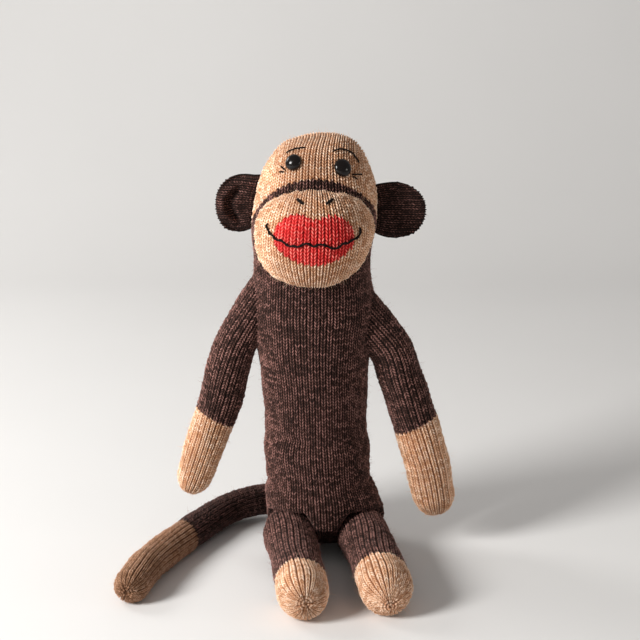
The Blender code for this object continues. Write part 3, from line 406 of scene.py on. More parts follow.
class Cloth:
    """Knitted cloth over paths that run along its ribs.

    A rib is one wale of V stitches. Across a wale, x from 0 to 1, the cloth stands out by rib * sin(pi x)**0.6 and
    the two legs of a stitch by yarn * |sin(2 pi x)|**0.7, where ribbed cloth fills the slit between the two. Along a
    course each leg swells and thins, and the rows of points follow the legs: they lie slant * (|2x - 1| - 1/2)
    courses on.

    Above a ring, where one is given, the rows lie at even distances, and the ribs that end sooner close a seam.
    """

    def __init__(
        self, paths_at, wales, seed, ribbed=0, yarn=1, closed=True, trim=0, lump=1, clip=None, ring=None, folds=0
    ):
        size = sizes()
        rng = np.random.default_rng(seed)
        columns = wales * STITCH_COLUMNS + (0 if closed else 1)
        self.wale = np.arange(columns) / STITCH_COLUMNS
        paths = paths_at(self.wale / wales)
        steps = np.linalg.norm(np.diff(paths, axis=0), axis=2)
        lengths = steps.sum(axis=0)
        below = steps[:ring].sum(axis=0) if ring else 0 * lengths
        under = int(round(below.mean() / size.course))
        self.courses = int(round(lengths.mean() / size.course))
        if ring:
            self.courses = under + math.ceil((lengths - below).max() / size.course)
        self.course = np.arange(self.courses * STITCH_ROWS + 1) / STITCH_ROWS
        self.closed = closed
        x = self.wale % 1
        ends = np.clip(np.minimum(self.course, self.courses - self.course) / 3, 0, 1)
        along = self.course[:, None] + size.slant * (np.abs(2 * x - 1) - 0.5) * ends[:, None]
        shares = trim + (1 - 2 * trim) * along / self.courses
        if ring:
            low = below * along / under
            shares = np.where(along < under, low, below + (along - under) * size.course) / lengths
        self.inside = shares < 1 - 1e-6
        self.along = along
        base = resample(paths, np.maximum(shares, 0.002 if ring else 0))
        self.poles = paths[0].mean(axis=0), paths[-1].mean(axis=0)
        last = np.maximum(self.inside.sum(axis=0) - 2, 0)
        row = np.minimum(np.arange(len(self.course))[:, None], last)
        column = np.arange(columns)[None, :]
        base += normals_of(base, closed)[row, column] * (waves(base, LUMP_LENGTH, seed) * size.lump * lump)[..., None]
        self.normal = normals_of(base, closed)[row, column]
        cell = rng.uniform(0.72, 1.28, (self.courses + 1, wales + 1))
        lift = rng.normal(0, 0.00007, (self.courses + 1, wales + 1))
        rows, places = self.course.astype(int), self.wale.astype(int)
        swell = np.array([0.12, 0.9, 0.86])[np.arange(len(self.course)) % STITCH_ROWS]
        leg = np.abs(np.sin(2 * math.pi * x)) ** 0.7
        leg = leg + ribbed * (1 - leg) * np.sin(math.pi * x) ** 4
        share = (1 + ribbed) * size.rib * np.sin(math.pi * x) ** 0.6
        stitch = yarn * size.yarn * leg * (0.15 + 0.85 * swell[:, None]) * cell[rows][:, places]
        seam = np.clip((1 - shares) * lengths / SEAM_WIDTH, 0.25, 1) if ring else 1.0
        relief = (share + stitch + lift[rows][:, places] * leg) * seam
        top = (1 + ribbed) * size.rib + yarn * size.yarn * 0.8
        # Painted light and shade for the yarn's colour: pale on the legs of the stitches, dark in the slits
        # between the legs and between courses, and darker along the toe's seam.
        strokes = leg * (0.12 + 0.88 * swell[:, None]) * np.clip(cell[rows][:, places], 0, 1.15)
        self.shade = np.clip(0.12 * np.sin(math.pi * x) ** 0.6 + 0.9 * strokes, 0, 1) * (0.4 + 0.6 * seam)
        if folds:
            pucker = bump(np.linalg.norm(base - self.poles[1], axis=2), 0, PUCKER_WIDTH)
            slit = np.abs(np.cos(math.pi * folds * self.wale / wales + 0.6 * np.sin(1.7 * self.wale))) ** 5
            relief -= PUCKER_DEPTH * pucker * slit + 0.0003 * pucker
            # Painted shade: the slits of the gather darker still.
            self.shade *= 1 - 0.6 * pucker * slit
        self.points = base + self.normal * (relief - 0.6 * top)[..., None]
        if clip:
            self.points = clip(self.points)
            self.poles = tuple(clip(pole[None])[0] for pole in self.poles)

    def face_columns(self):
        return (self.wale if self.closed else self.wale[:-1])[None, :]


def make_mesh(name, points, loops, starts, uvs=None, shade=None):
    """A mesh from points, the corners of all faces in one row and where each face starts in it."""
    used, corners = np.unique(loops, return_inverse=True)
    mesh = bpy.data.meshes.new(name)
    mesh.vertices.add(len(used))
    mesh.loops.add(len(corners))
    mesh.polygons.add(len(starts))
    mesh.vertices.foreach_set("co", np.ascontiguousarray(points[used], np.float32).ravel())
    mesh.loops.foreach_set("vertex_index", corners.astype(np.int32).ravel())
    mesh.polygons.foreach_set("loop_start", np.asarray(starts, np.int32))
    mesh.update(calc_edges=True)
    mesh.validate()
    if uvs is not None:
        layer = mesh.uv_layers.new(name="Knit")
        layer.data.foreach_set("uv", np.ascontiguousarray(uvs, np.float32).ravel())
    # The cloth's painted light and shade, stored as the attribute that the yarn's colour reads.
    if shade is not None:
        attribute = mesh.attributes.new("relief", "FLOAT", "POINT")
        attribute.data.foreach_set("value", np.ascontiguousarray(shade[used], np.float32))
    mesh.shade_smooth()
    return mesh


def ring_mesh(name, points, poles, flipped=False):
    """A mesh over closed rings of points, with a fan to a pole at either end."""
    rows, columns = points.shape[:2]
    index = np.arange(rows * columns).reshape(rows, columns)
    after = np.roll(index, -1, axis=1)
    corners = [index[:-1], after[:-1], after[1:], index[1:]]
    if flipped:
        corners[1:] = corners[:0:-1]
        index, after = after, index
    start = np.stack([after[0], index[0], np.full(columns, rows * columns)], axis=-1)
    end = np.stack([index[-1], after[-1], np.full(columns, rows * columns + 1)], axis=-1)
    quads = np.stack(corners, axis=-1).reshape(-1, 4)
    loops = np.concatenate([quads.ravel(), start.ravel(), end.ravel()])
    starts = np.concatenate([np.arange(len(quads)) * 4, len(quads) * 4 + np.arange(2 * columns) * 3])
    return make_mesh(name, np.concatenate([points.reshape(-1, 3), poles]), loops, starts)


def link_object(name, data):
    made = bpy.data.objects.new(name, data)
    bpy.context.scene.collection.objects.link(made)
    return made


def add_object(name, mesh, finish, replaced=()):
    mesh.materials.append(finish)
    made = link_object(name, mesh)
    if replaced:
        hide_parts(*replaced)
    return made


def cloth_object(name, cloth, mask, yarn, replaced, start_pole=False, end_pole=False):
    """The faces of a cloth that a mask picks, with a fan to a pole at either end where asked."""
    rows, columns = cloth.points.shape[:2]
    inside = cloth.inside | np.roll(cloth.inside, -1, axis=1)
    inside = (inside[:-1] | inside[1:])[:, : mask.shape[1]]
    mask = mask & inside
    index = np.arange(rows * columns).reshape(rows, columns)
    after = np.roll(index, -1, axis=1) if cloth.closed else index[:, 1:]
    index = index if cloth.closed else index[:, :-1]
    quads = np.stack([index[:-1], after[:-1], after[1:], index[1:]], axis=-1)[mask]
    u = cloth.face_columns() + 0 * cloth.course[:-1, None]
    v = cloth.course[:-1, None] + 0 * u
    du, dv = 1 / STITCH_COLUMNS, 1 / STITCH_ROWS
    uvs = np.stack([np.stack([u + du * a, v + dv * b], axis=-1) for a, b in ((0, 0), (1, 0), (1, 1), (0, 1))], axis=2)
    uvs = uvs[mask].reshape(-1, 2)
    points = np.concatenate([cloth.points.reshape(-1, 3), np.array(cloth.poles)])
    # Painted light and shade of the cloth, middling at the two poles.
    shade = np.concatenate([cloth.shade.ravel(), [0.4, 0.4]])
    loops, starts = [quads.reshape(-1)], [np.arange(len(quads)) * 4]
    count = len(quads) * 4
    ends = (start_pole, 0, rows * columns, 0.0), (end_pole, -1, rows * columns + 1, cloth.courses)
    for wanted, row, pole, at in ends:
        if not wanted:
            continue
        first, second = index[row], after[row]
        corners = (second, first) if row == 0 else (first, second)
        fan = np.stack([corners[0], corners[1], np.full(len(first), pole)], axis=-1)
        wales = cloth.face_columns()[0]
        across = (wales + du, wales, wales) if row == 0 else (wales, wales + du, wales)
        fan_uv = np.stack([np.stack([w, np.full(len(w), float(at))], axis=-1) for w in across], axis=1)
        loops.append(fan.reshape(-1))
        uvs = np.concatenate([uvs, fan_uv.reshape(-1, 2)])
        starts.append(count + np.arange(len(fan)) * 3)
        count += len(fan) * 3
    mesh = make_mesh(name, points, np.concatenate(loops), np.concatenate(starts), uvs, shade)
    return add_object(name, mesh, material(yarn), replaced)


def ride_all(pieces, body):
    """Every piece moves with one body."""
    for piece in pieces:
        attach(piece, body)


def fuzz_object(name, cloth, mask, colour, seed):
    """Stray fibres: three-sided hairs that leave the cloth, lean over and end in a point, none through the floor.

    A hair's middle line is root + length * (t * lean + t**2 * curl), and its radius shrinks with 1 - t.
    """
    size = sizes()
    rng = np.random.default_rng(seed)
    rows, columns = np.nonzero(mask)
    area = len(rows) * size.course / STITCH_ROWS * 0.0006
    count = int(area * 1e4 * size.fuzz_density)
    pick = rng.integers(0, len(rows), count)
    root = cloth.points[rows[pick], columns[pick]]
    normal = cloth.normal[rows[pick], columns[pick]]
    lean = unit(normal + rng.normal(0, 0.55, (count, 3)))
    curl = rng.normal(0, 0.45, (count, 3))
    length = size.fuzz_length * rng.uniform(0.35, 1.5, (count, 1)) ** 1.5
    radius = rng.uniform(0.00005, 0.00009, (count, 1))
    side = unit(np.cross(lean, rng.normal(size=(count, 3))))
    other = np.cross(lean, side)
    rings = []
    for t in (0.0, 0.4, 0.75):
        middle = root - normal * 0.0003 + length * (t * lean + t**2 * curl)
        for angle in (0, 2 * math.pi / 3, 4 * math.pi / 3):
            rings.append(middle + radius * (1 - 0.6 * t) * (math.cos(angle) * side + math.sin(angle) * other))
    points = np.stack([*rings, root + length * (lean + curl)], axis=1)
    points = points[points[..., 2].min(axis=1) > REST_LIFT]
    faces = []
    for corner, after in ((0, 1), (1, 2), (2, 0), (3, 4), (4, 5), (5, 3)):
        faces += [(corner, after, after + 3), (corner, after + 3, corner + 3)]
    faces += [(6, 7, 9), (7, 8, 9), (8, 6, 9)]
    loops = (np.array(faces)[None] + 10 * np.arange(len(points))[:, None, None]).reshape(-1)
    mesh = make_mesh(name, points.reshape(-1, 3), loops, np.arange(len(points) * len(faces)) * 3)
    return add_object(name, mesh, material(colour + " fibre"))


# Materials


def set_inputs(node, values):
    for socket, value in values.items():
        node.inputs[socket].default_value = value


def new_material(name, values):
    """A material and its nodes, links and shader, with the given inputs of the shader."""
    made = bpy.data.materials.new(name)
    made.use_nodes = True
    shader = made.node_tree.nodes["Principled BSDF"]
    set_inputs(shader, values)
    return made, made.node_tree.nodes, made.node_tree.links, shader


def add_node(nodes, kind, values=None, **settings):
    """A shader node with its own settings and the given inputs, each by its name or number."""
    node = nodes.new("ShaderNode" + kind)
    for setting, value in settings.items():
        setattr(node, setting, value)
    set_inputs(node, values or {})
    return node


def wire(links, *joins):
    """Joins each node's named output to another node's input."""
    for source, output, target, socket in joins:
        links.new(source.outputs[output], target.inputs[socket])


def ramp_node(nodes, stops):
    ramp = nodes.new("ShaderNodeValToRGB")
    elements = ramp.color_ramp.elements
    while len(elements) < len(stops):
        elements.new(0.5)
    for element, (position, colour) in zip(elements, stops):
        element.position = position
        element.color = (*colour, 1)
    return ramp


def scaled(colour, share):
    return tuple(min(1.0, part * share) for part in colour)


def yarn_material(name, base, fleck, marl, slit_shade):
    """Marled yarn: every leg of a stitch has its own share of pale strands; painted shade darkens the slits between
    them.

    The share is white noise of (floor(2u), floor(v)), where u counts ribs and v courses, mixed with strands of fine
    noise that run along the leg, and then half and half with the cloth's painted light and shade: a painted highlight
    on the tops of the legs.
    """
    sheen = (*(0.35 + 0.65 * part for part in fleck), 1)
    gloss = {"Roughness": 0.9, "Specular IOR Level": 0.2}
    soft = {"Sheen Weight": 0.16, "Sheen Roughness": 0.5, "Sheen Tint": sheen}
    made, nodes, links, shader = new_material(name, gloss | soft)
    knit = add_node(nodes, "UVMap", uv_map="Knit")
    halves = add_node(nodes, "VectorMath", {1: (2, 1, 1)}, operation="MULTIPLY")
    cell = add_node(nodes, "VectorMath", operation="FLOOR")
    chance = add_node(nodes, "TexWhiteNoise", noise_dimensions="2D")
    strands = add_node(nodes, "Mapping", {"Scale": (7.0, 1.6, 1)})
    noise = add_node(nodes, "TexNoise", {"Scale": 1.0, "Detail": 4.0, "Roughness": 0.7})
    mix = add_node(nodes, "Mix", {"Factor": 0.66})
    # Painted highlight: the cloth's painted light and shade pulls the tops of the legs towards the pale strands.
    ridge_highlight = add_node(nodes, "Mix", {"Factor": 0.5})
    middle = tuple((a * b) ** 0.5 for a, b in zip(base, fleck))
    dark, pale = (0.5 - marl, scaled(base, 0.6)), (0.5 + marl, fleck)
    ramp = ramp_node(nodes, (dark, (0.5 - 0.3 * marl, base), (0.5 + 0.3 * marl, middle), pale))
    relief = add_node(nodes, "Attribute", attribute_name="relief")
    # Painted shade in the slits: how much of a dark copy of the yarn goes in, from the cloth's painted shade.
    depth = add_node(nodes, "MapRange", {"From Min": 0.14, "From Max": 0.78})
    place = add_node(nodes, "TexCoord")
    patches = add_node(nodes, "TexNoise", {"Scale": 38.0, "Detail": 2.0})
    wear = add_node(nodes, "MapRange", {"From Min": 0.3, "From Max": 0.7, "To Min": 0.84, "To Max": 1.14})
    darken = add_node(nodes, "VectorMath", operation="SCALE")
    # Painted shade: a dark copy of the yarn, mixed in where the cloth's painted shade is deep.
    slit_shade_mix = add_node(nodes, "Mix", {"A": (*(slit_shade * part**1.5 for part in base), 1)}, data_type="RGBA")
    fibres = add_node(nodes, "TexNoise", {"Scale": 1500.0, "Detail": 3.0})
    bump = add_node(nodes, "Bump", {"Strength": 0.6, "Distance": 0.0003})
    wire(
        links,
        (knit, "UV", halves, 0),
        (halves, "Vector", cell, 0),
        (cell, "Vector", chance, "Vector"),
        (knit, "UV", strands, "Vector"),
        (strands, "Vector", noise, "Vector"),
        (chance, "Value", mix, "A"),
        (noise, "Fac", mix, "B"),
        (mix, "Result", ridge_highlight, "A"),
        (relief, "Fac", ridge_highlight, "B"),
        (ridge_highlight, "Result", ramp, "Fac"),
        (relief, "Fac", depth, "Value"),
        (place, "Object", patches, "Vector"),
        (patches, "Fac", wear, "Value"),
        (depth, "Result", slit_shade_mix, "Factor"),
        (ramp, "Color", slit_shade_mix, "B"),
        (slit_shade_mix, "Result", darken, 0),
        (wear, "Result", darken, "Scale"),
        (darken, "Vector", shader, "Base Color"),
        (place, "Object", fibres, "Vector"),
        (fibres, "Fac", bump, "Height"),
        (bump, "Normal", shader, "Normal"),
    )
    return made


def fibre_material(name, dark, light, scale, roughness, strength):
    """A fibrous finish on Object coordinates: fine noise between two colours, and the same noise as bump."""
    made, nodes, links, shader = new_material(name, {"Roughness": roughness, "Specular IOR Level": 0.12})
    noise = bumpy_noise(nodes, links, shader, {"Scale": scale, "Detail": 4.0}, strength, 0.0004)
    ramp = ramp_node(nodes, ((0.3, dark), (0.7, light)))
    wire(links, (noise, "Fac", ramp, "Fac"), (ramp, "Color", shader, "Base Color"))
    return made


def plastic_material(name, colour, roughness):
    """Moulded plastic: faint uneven gloss from a fine bump on Object coordinates."""
    look = {"Base Color": (*colour, 1), "Roughness": roughness, "Specular IOR Level": 0.3}
    made, nodes, links, shader = new_material(name, look)
    bumpy_noise(nodes, links, shader, {"Scale": 320.0}, 0.06, 0.0002)
    return made


def bumpy_noise(nodes, links, shader, values, strength, distance):
    """Noise on Object coordinates that roughens the surface."""
    place = add_node(nodes, "TexCoord")
    noise = add_node(nodes, "TexNoise", values)
    bump = add_node(nodes, "Bump", {"Strength": strength, "Distance": distance})
    wire(
        links,
        (place, "Object", noise, "Vector"),
        (noise, "Fac", bump, "Height"),
        (bump, "Normal", shader, "Normal"),
    )
    return noise


def makers(c):
    """How each finish is made: its maker and what the maker is given after the name."""
    return {
        # The last number of each yarn scales the dark colour of its painted shade in the slits.
        "brown yarn": (yarn_material, c.brown, c.brown_fleck, 0.27, 1.0),
        "tan yarn": (yarn_material, c.tan, c.tan_fleck, 0.27, 0.27),
        "red yarn": (yarn_material, c.red, c.red_fleck, 0.3, 0.4),
        "brown fibre": (fibre_material, scaled(c.brown_fleck, 0.6), scaled(c.brown_fleck, 1.5), 90.0, 0.9, 0.0),
        # The tail's yarns are darker copies of the brown and tan yarns: painted shade over the whole tail.
        "tail brown yarn": (yarn_material, scaled(c.brown, 0.7), scaled(c.brown_fleck, 0.45), 0.27, 0.9),
        "tail tan yarn": (yarn_material, scaled(c.tan, 0.42), c.tail_shade_fleck, 0.27, 0.27),
        "tan fibre": (fibre_material, c.tan, c.tan_fleck, 90.0, 0.9, 0.0),
        "thread": (fibre_material, scaled(c.thread, 0.4), scaled(c.thread, 1.5), 900.0, 0.8, 0.8),
        "fill": (fibre_material, scaled(c.fill, 0.85), c.fill, 260.0, 1.0, 1.0),
        "eye plastic": (plastic_material, c.eye, 0.17),
        "washer plastic": (plastic_material, (0.68, 0.68, 0.66), 0.45),
    }


def material(name):
    """The finish of a name, made at its first use."""
    maker, *values = makers(colours())[name]
    return bpy.data.materials.get(name) or maker(name, *values)


# Head and body


def crown_edge_height(turn):
    """The line where the brown of the neck meets the tan toe: an arch over the face."""
    ahead = np.cos(turn)
    front = (CROWN_FRONT_HEIGHT - CROWN_SIDE_HEIGHT) * np.abs(ahead) ** CROWN_ARCH_SHARE
    return CROWN_SIDE_HEIGHT + np.where(ahead > 0, front, CROWN_BACK_RISE * np.abs(ahead))


def underside_height(x, y):
    """How high the body's underside lies: an arch over each leg, a rounded belly between them, flat behind.

    Over a leg's root it is hip + sqrt(root radius**2 - distance behind the hip**2), and a slope of 12 degrees ahead.
    """
    hip = joint_place("hip_left")
    root_radius = LEG_RADIUS + 0.0004
    behind = y - hip[1]
    over = hip[2] + np.sqrt(np.maximum(root_radius**2 - behind**2, 0))
    ahead = hip[2] + root_radius - np.minimum(behind, 0) * math.tan(math.radians(12))
    leg = np.where(behind < 0, ahead, over) * (1 - smoothstep(root_radius - 0.0002, root_radius + 0.007, behind))
    inward = np.clip((y + BODY_DEPTH / 2) / (CROTCH_DEPTH + 0.012), 0, 1)
    belly = BELLY_HEIGHT * (1 - inward) ** 0.8
    beside = np.abs(x - BODY_ROWS[0][3] - LEG_SHIFT[RIGHT])
    leg = leg + 0.1 * np.maximum(beside - 0.022, 0) * (behind < 0)
    return belly + (leg - belly) * smoothstep(0.006, CROTCH_WIDTH / 2 + 0.009, beside)


def side_draw(x, z):
    """How far the head's right side is drawn in under the ear: a flat-topped bump of the height, only at the side."""
    return SIDE_DRAW * bump(z, 0.235, 0.022, 4) * smoothstep(0.03, 0.046, x)


def drape(points):
    """The stuffed cloth's own shape over the plain tube.

    The hip swells to the right, the head leans to the right, the crown is fuller on either side and the creases go in:
    each is a smooth bump of the height, and of how far round the point is.
    """
    points = points.copy()
    x, y, z = points[..., 0], points[..., 1], points[..., 2]
    turn = np.arctan2(x, -y)
    out = unit(points[..., :2])
    for height, depth, width in CREASES:
        fade = 0.55 + 0.45 * np.sin(2 * turn + height * 90)
        groove = depth * fade * bump(z + 0.003 * np.sin(2.3 * turn), height, width)
        bulge = 0.6 * depth * bump(z - height + 0.011, 0, 0.009)
        points[..., :2] -= out * (groove - bulge)[..., None]
    points[..., 0] += HIP_SWELL * bump(z, 0.028, 0.017) * smoothstep(0.012, 0.045, x)
    for side in SIDES:
        points[..., 2] += CROWN_RISE[side] * smoothstep(0.003, 0.028, side * x) * smoothstep(0.3, 0.323, z)
    points[..., 0] += CROWN_SLOPE * (bump(z, 0.322, 0.012) * smoothstep(0.02, 0.035, -x))
    points[..., 0] -= side_draw(x, z)
    points[..., 0] += HEAD_LEAN * bump(z, 0.302, 0.015) * smoothstep(0.022, 0.042, np.abs(x))
    points[..., 2] -= 0.0008 * smoothstep(0.33, 0.336, z)
    return points


def toe_paths(turns):
    """The sock's toe: ribs keep their share of the width and stop where they meet the side seam.

    At a place up the head the sine of a rib's turn is sin(its turn below) * ratio, where ratio is how much the head
    has narrowed since the toe's start, eased so that the ribs draw together a little.
    """
    first = sock_form.last - (head_form.last - head_form.place_at(HEAD_BASE_HEIGHT + TOE_START_SHARE * HEAD_HEIGHT))
    places = np.linspace(first, sock_form.last, 1500)
    section = sock_form.sections(places)
    rise = (section[:, 0] - section[0, 0]) / (section[-1, 0] - section[0, 0])
    ratio = section[0, 1] * (1 - CROWN_DRAW * rise**1.5) / np.maximum(section[:, 1], 1e-5)
    ratio = np.maximum.accumulate(np.maximum(ratio, 1))
    sine = np.abs(np.sin(turns))
    end = np.interp(1 / np.maximum(sine, 1e-4), ratio, places)
    t = 1 - (1 - np.linspace(0, 1, PATH_STEPS)[:, None]) ** 2
    there = first + (end - first) * t
    inner = np.arcsin(np.clip(sine * np.interp(there, places, ratio), 0, 1))
    inner = np.where(np.cos(turns) >= 0, inner, math.pi - inner) * np.where(np.sin(turns) >= 0, 1, -1)
    return first, sock_form.point(inner, there)


def smooth_paths(paths, count, reach):
    """Each path at even steps, averaged over its neighbours: its corners turn into rounds. Its ends stay."""
    even = resample(paths, np.linspace(0, 1, count)[:, None] + np.zeros(paths.shape[1]))
    total = np.cumsum(np.concatenate([np.zeros((1, *even.shape[1:])), even]), axis=0)
    index = np.arange(count)
    near = np.minimum(np.minimum(index, count - 1 - index), reach)
    return (total[index + near + 1] - total[index - near]) / (2 * near + 1)[:, None, None]


def sock_paths(shares_round):
    """Paths up the sock from the middle of the seat, under the body, over its hem and side to the toe's seam."""
    turns = 2 * math.pi * shares_round - math.pi + 1e-4
    heights = np.linspace(0, 0.09, PATH_STEPS)[:, None] + 0 * turns
    wall = drape(sock_form.point(turns + 0 * heights, sock_form.place_at(heights)))
    above = wall[..., 2] >= underside_height(wall[..., 0], wall[..., 1])
    hem = np.argmax(above, axis=0)
    columns = np.arange(len(turns))
    low = heights[hem, columns]
    edge = wall[hem, columns]
    centre = np.array([BODY_ROWS[0][3], 0.012])
    inward = np.linspace(0, 1, PATH_STEPS // 3)[:, None, None]
    flat = centre + (edge[:, :2] - centre) * inward
    under_height = np.minimum(underside_height(flat[..., 0], flat[..., 1]), edge[:, 2])
    under = np.concatenate([flat, np.maximum(under_height, REST_LIFT * 2)[..., None]], axis=-1)
    start, ring = sock_form.place_at(low), sock_form.place_at(CREASE_RING)
    first, toe = toe_paths(turns)
    low_places = start + (ring - start) * np.linspace(0, 1, PATH_STEPS // 2)[:, None]
    low_side = drape(sock_form.point(turns + 0 * low_places, low_places))
    below = smooth_paths(np.concatenate([under, low_side]), PATH_STEPS, 5)
    high_places = np.linspace(ring, first, PATH_STEPS)[:, None] + 0 * turns
    high_side = drape(sock_form.point(turns + 0 * high_places, high_places))
    return np.concatenate([below, high_side[1:], drape(toe)[1:]])


def build_sock():
    """Brown body and neck, and the tan crown over them, from one knitted sock."""
    cloth = Cloth(sock_paths, SOCK_WALES, 11, ring=PATH_STEPS - 1, clip=on_floor)
    points = cloth.points[:-1]
    turn = np.arctan2(points[..., 0] - HEAD_ROWS[8][3], -points[..., 1] * HEAD_WIDTH / HEAD_DEPTH)
    tan = points[..., 2] > crown_edge_height(turn) - STRIPE_NARROWING
    body = cloth_object("knitted_body", cloth, ~tan, "brown yarn", ("body_skin", "neck_skin"), start_pole=True)
    crown = cloth_object("knitted_crown", cloth, tan, "tan yarn", ("crown_skin",))
    ear_height = joint_place("ear_fold_left")[2]
    by_ear = (np.abs(points[..., 0]) > 0.03) & (np.hypot(points[..., 1], points[..., 2] - ear_height) < 0.03)
    visible = (points[..., 2] > 0.04) & cloth.inside[:-1] & ~by_ear
    body_fuzz = fuzz_object("body_fuzz", cloth, ~tan & visible, "brown", 12)
    crown_fuzz = fuzz_object("crown_fuzz", cloth, tan & visible, "tan", 13)
    shares = np.arange(40) / 40
    inner = resample(sock_paths(shares), np.linspace(0.004, 0.996, 160)[:, None] + 0 * shares)
    dent = bump(np.linalg.norm(inner - joint_place("tail_swing"), axis=-1), 0, 0.022)
    inner = inner - normals_of(inner, True) * (0.0048 + 0.004 * dent)[..., None]
    fill = fill_object("sock_fill", inner, ("body_stuffing", "head_stuffing"))
    for piece in (body, body_fuzz, fill):
        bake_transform(piece)
    ride_all((crown, crown_fuzz), "head")


def muzzle_point(share, turn, lift=0.0, bulge_share=1.0, shrink=0.0):
    """A place on the muzzle: a share of its oval on the face, pushed forward by bulge * (1 - share**2)**0.62."""
    inner = share * (1 - shrink / (MUZZLE_HEIGHT / 2))
    height = MUZZLE_CENTRE_HEIGHT + MUZZLE_HEIGHT / 2 * inner * np.sin(turn)
    face_turn = MUZZLE_HALF_TURN * inner * np.cos(turn)
    place = head_form.place_at(height)
    base = head_form.point(face_turn, place) + (lift + 0 * share)[..., None] * head_form.normal(face_turn, place)
    swell = bulge_share * MUZZLE_BULGE * np.clip(1 - share**2, 0, 1) ** 0.62
    return base - np.stack([0 * swell, swell, 0 * swell], axis=-1)


def muzzle_form(share, turn, lift, bulge_share=1.0):
    """The sewn-on muzzle: its oval, drawn in at its lower right and, with the head's side, under the ear."""
    slack = MUZZLE_SLACK * smoothstep(0.5, 1.0, share) * bump(turn, -0.75, 0.5)
    points = muzzle_point(share, turn, lift, bulge_share, slack)
    points[..., 0] -= 0.8 * side_draw(points[..., 0], points[..., 2])
    return points


def on_muzzle(shares, lift):
    across, up = np.asarray(shares).T
    return muzzle_point(np.hypot(across, up), np.arctan2(up, across), lift + 0 * across)


def lips_edge_share(turn):
    steps = len(LIPS_EDGE_SHARES) - 1
    edge = spline(np.array(LIPS_EDGE_SHARES)[:, None], (turn % (2 * math.pi)) / (2 * math.pi) * steps)[..., 0]
    return edge * (1 + 0.06 * np.cos(turn) ** 4)


def muzzle_disc(across, up):
    """A square's place carried into its round: x = a * sqrt(1 - b**2 / 2), z = b * sqrt(1 - a**2 / 2)."""
    return across * np.sqrt(1 - up**2 / 2), up * np.sqrt(1 - across**2 / 2)


def muzzle_paths(shares_across):
    across = 2 * shares_across - 1
    up = np.sin(np.linspace(-math.pi / 2, math.pi / 2, PATH_STEPS))[:, None] + 0 * across
    x, z = muzzle_disc(across + 0 * up, up)
    share, turn = np.minimum(np.hypot(x, z), 1.0), np.arctan2(z, x)
    lift = 0.0027 - 0.0032 * smoothstep(0.93, 1.0, share)
    drawn = 0.016 * smoothstep(0.8, 1.0, share) * np.abs(np.sin(14 * turn + np.sin(3 * turn)))
    return muzzle_form(share - drawn, turn, lift)


def build_muzzle():
    """The tan heel sewn on the face, with the red lips knitted into it."""
    cloth = Cloth(muzzle_paths, MUZZLE_WALES, 21, yarn=1.1, closed=False, lump=0.6)
    cell = cloth.points[:-1, :-1]
    z = (cell[..., 2] - MUZZLE_CENTRE_HEIGHT) / (MUZZLE_HEIGHT / 2)
    section = head_form.sections(head_form.place_at(cell[..., 2]))
    x = np.arcsin(np.clip((cell[..., 0] - section[..., 3]) / section[..., 1], -1, 1)) / MUZZLE_HALF_TURN
    red = np.hypot(x, z) < lips_edge_share(np.arctan2(z, x))
    heel = cloth_object("knitted_muzzle", cloth, ~red, "tan yarn", ("muzzle_skin",))
    lips = cloth_object("knitted_lips", cloth, red, "red yarn", ("lips",))
    ride_all((heel, lips, fuzz_object("muzzle_fuzz", cloth, ~red, "tan", 22)), "head")


# Threads, eyes and ears


def thread_mesh(name, path, radius, knots):
    """A twisted thread: two round plies side by side, carried along a path and turned about it as they go.

    A point is path + r * (0.8 + 0.28 |cos(angle - twist)|) in the plane square to the path, where r rounds off at
    both ends and swells by a share, knots, once in each stitch.
    """
    along = unit(np.gradient(path, axis=0))
    run = run_along(path)
    side = unit(np.cross(along, (0.2, 0.1, 1.0)))
    other = np.cross(along, side)
    angle = np.linspace(0, 2 * math.pi, THREAD_SIDES, endpoint=False)[None, :]
    bumps = 0.8 + 0.28 * np.abs(np.cos(angle - 2 * math.pi / THREAD_TWIST * run[:, None]))
    thick = 1 + knots * np.sin(math.pi * run[:, None] / STITCH_RUN) ** 6
    near = np.minimum(run, run[-1] - run)[:, None]
    taper = np.sqrt(np.clip(1 - (1 - np.minimum(near / radius, 1)) ** 2, 0.02, 1))
    reach = (radius * thick * bumps * taper)[..., None]
    spokes = np.cos(angle)[..., None] * side[:, None] + np.sin(angle)[..., None] * other[:, None]
    points = path[:, None] + reach * spokes
    return ring_mesh(name, points, path[[0, -1]], flipped=True)


def even_path(points, step):
    """The same curve with points a step apart."""
    run = run_along(points)
    wanted = np.linspace(0, run[-1], max(4, int(run[-1] / step)))
    return np.stack([np.interp(wanted, run, points[:, i]) for i in range(3)], axis=-1)


def add_thread(name, node, points, step, radius, knots=0.0):
    """A thread of the head through the given places, in place of a node."""
    mesh = thread_mesh(name, even_path(points, step), radius, knots)
    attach(add_object(name, mesh, material("thread"), (node,)), "head")


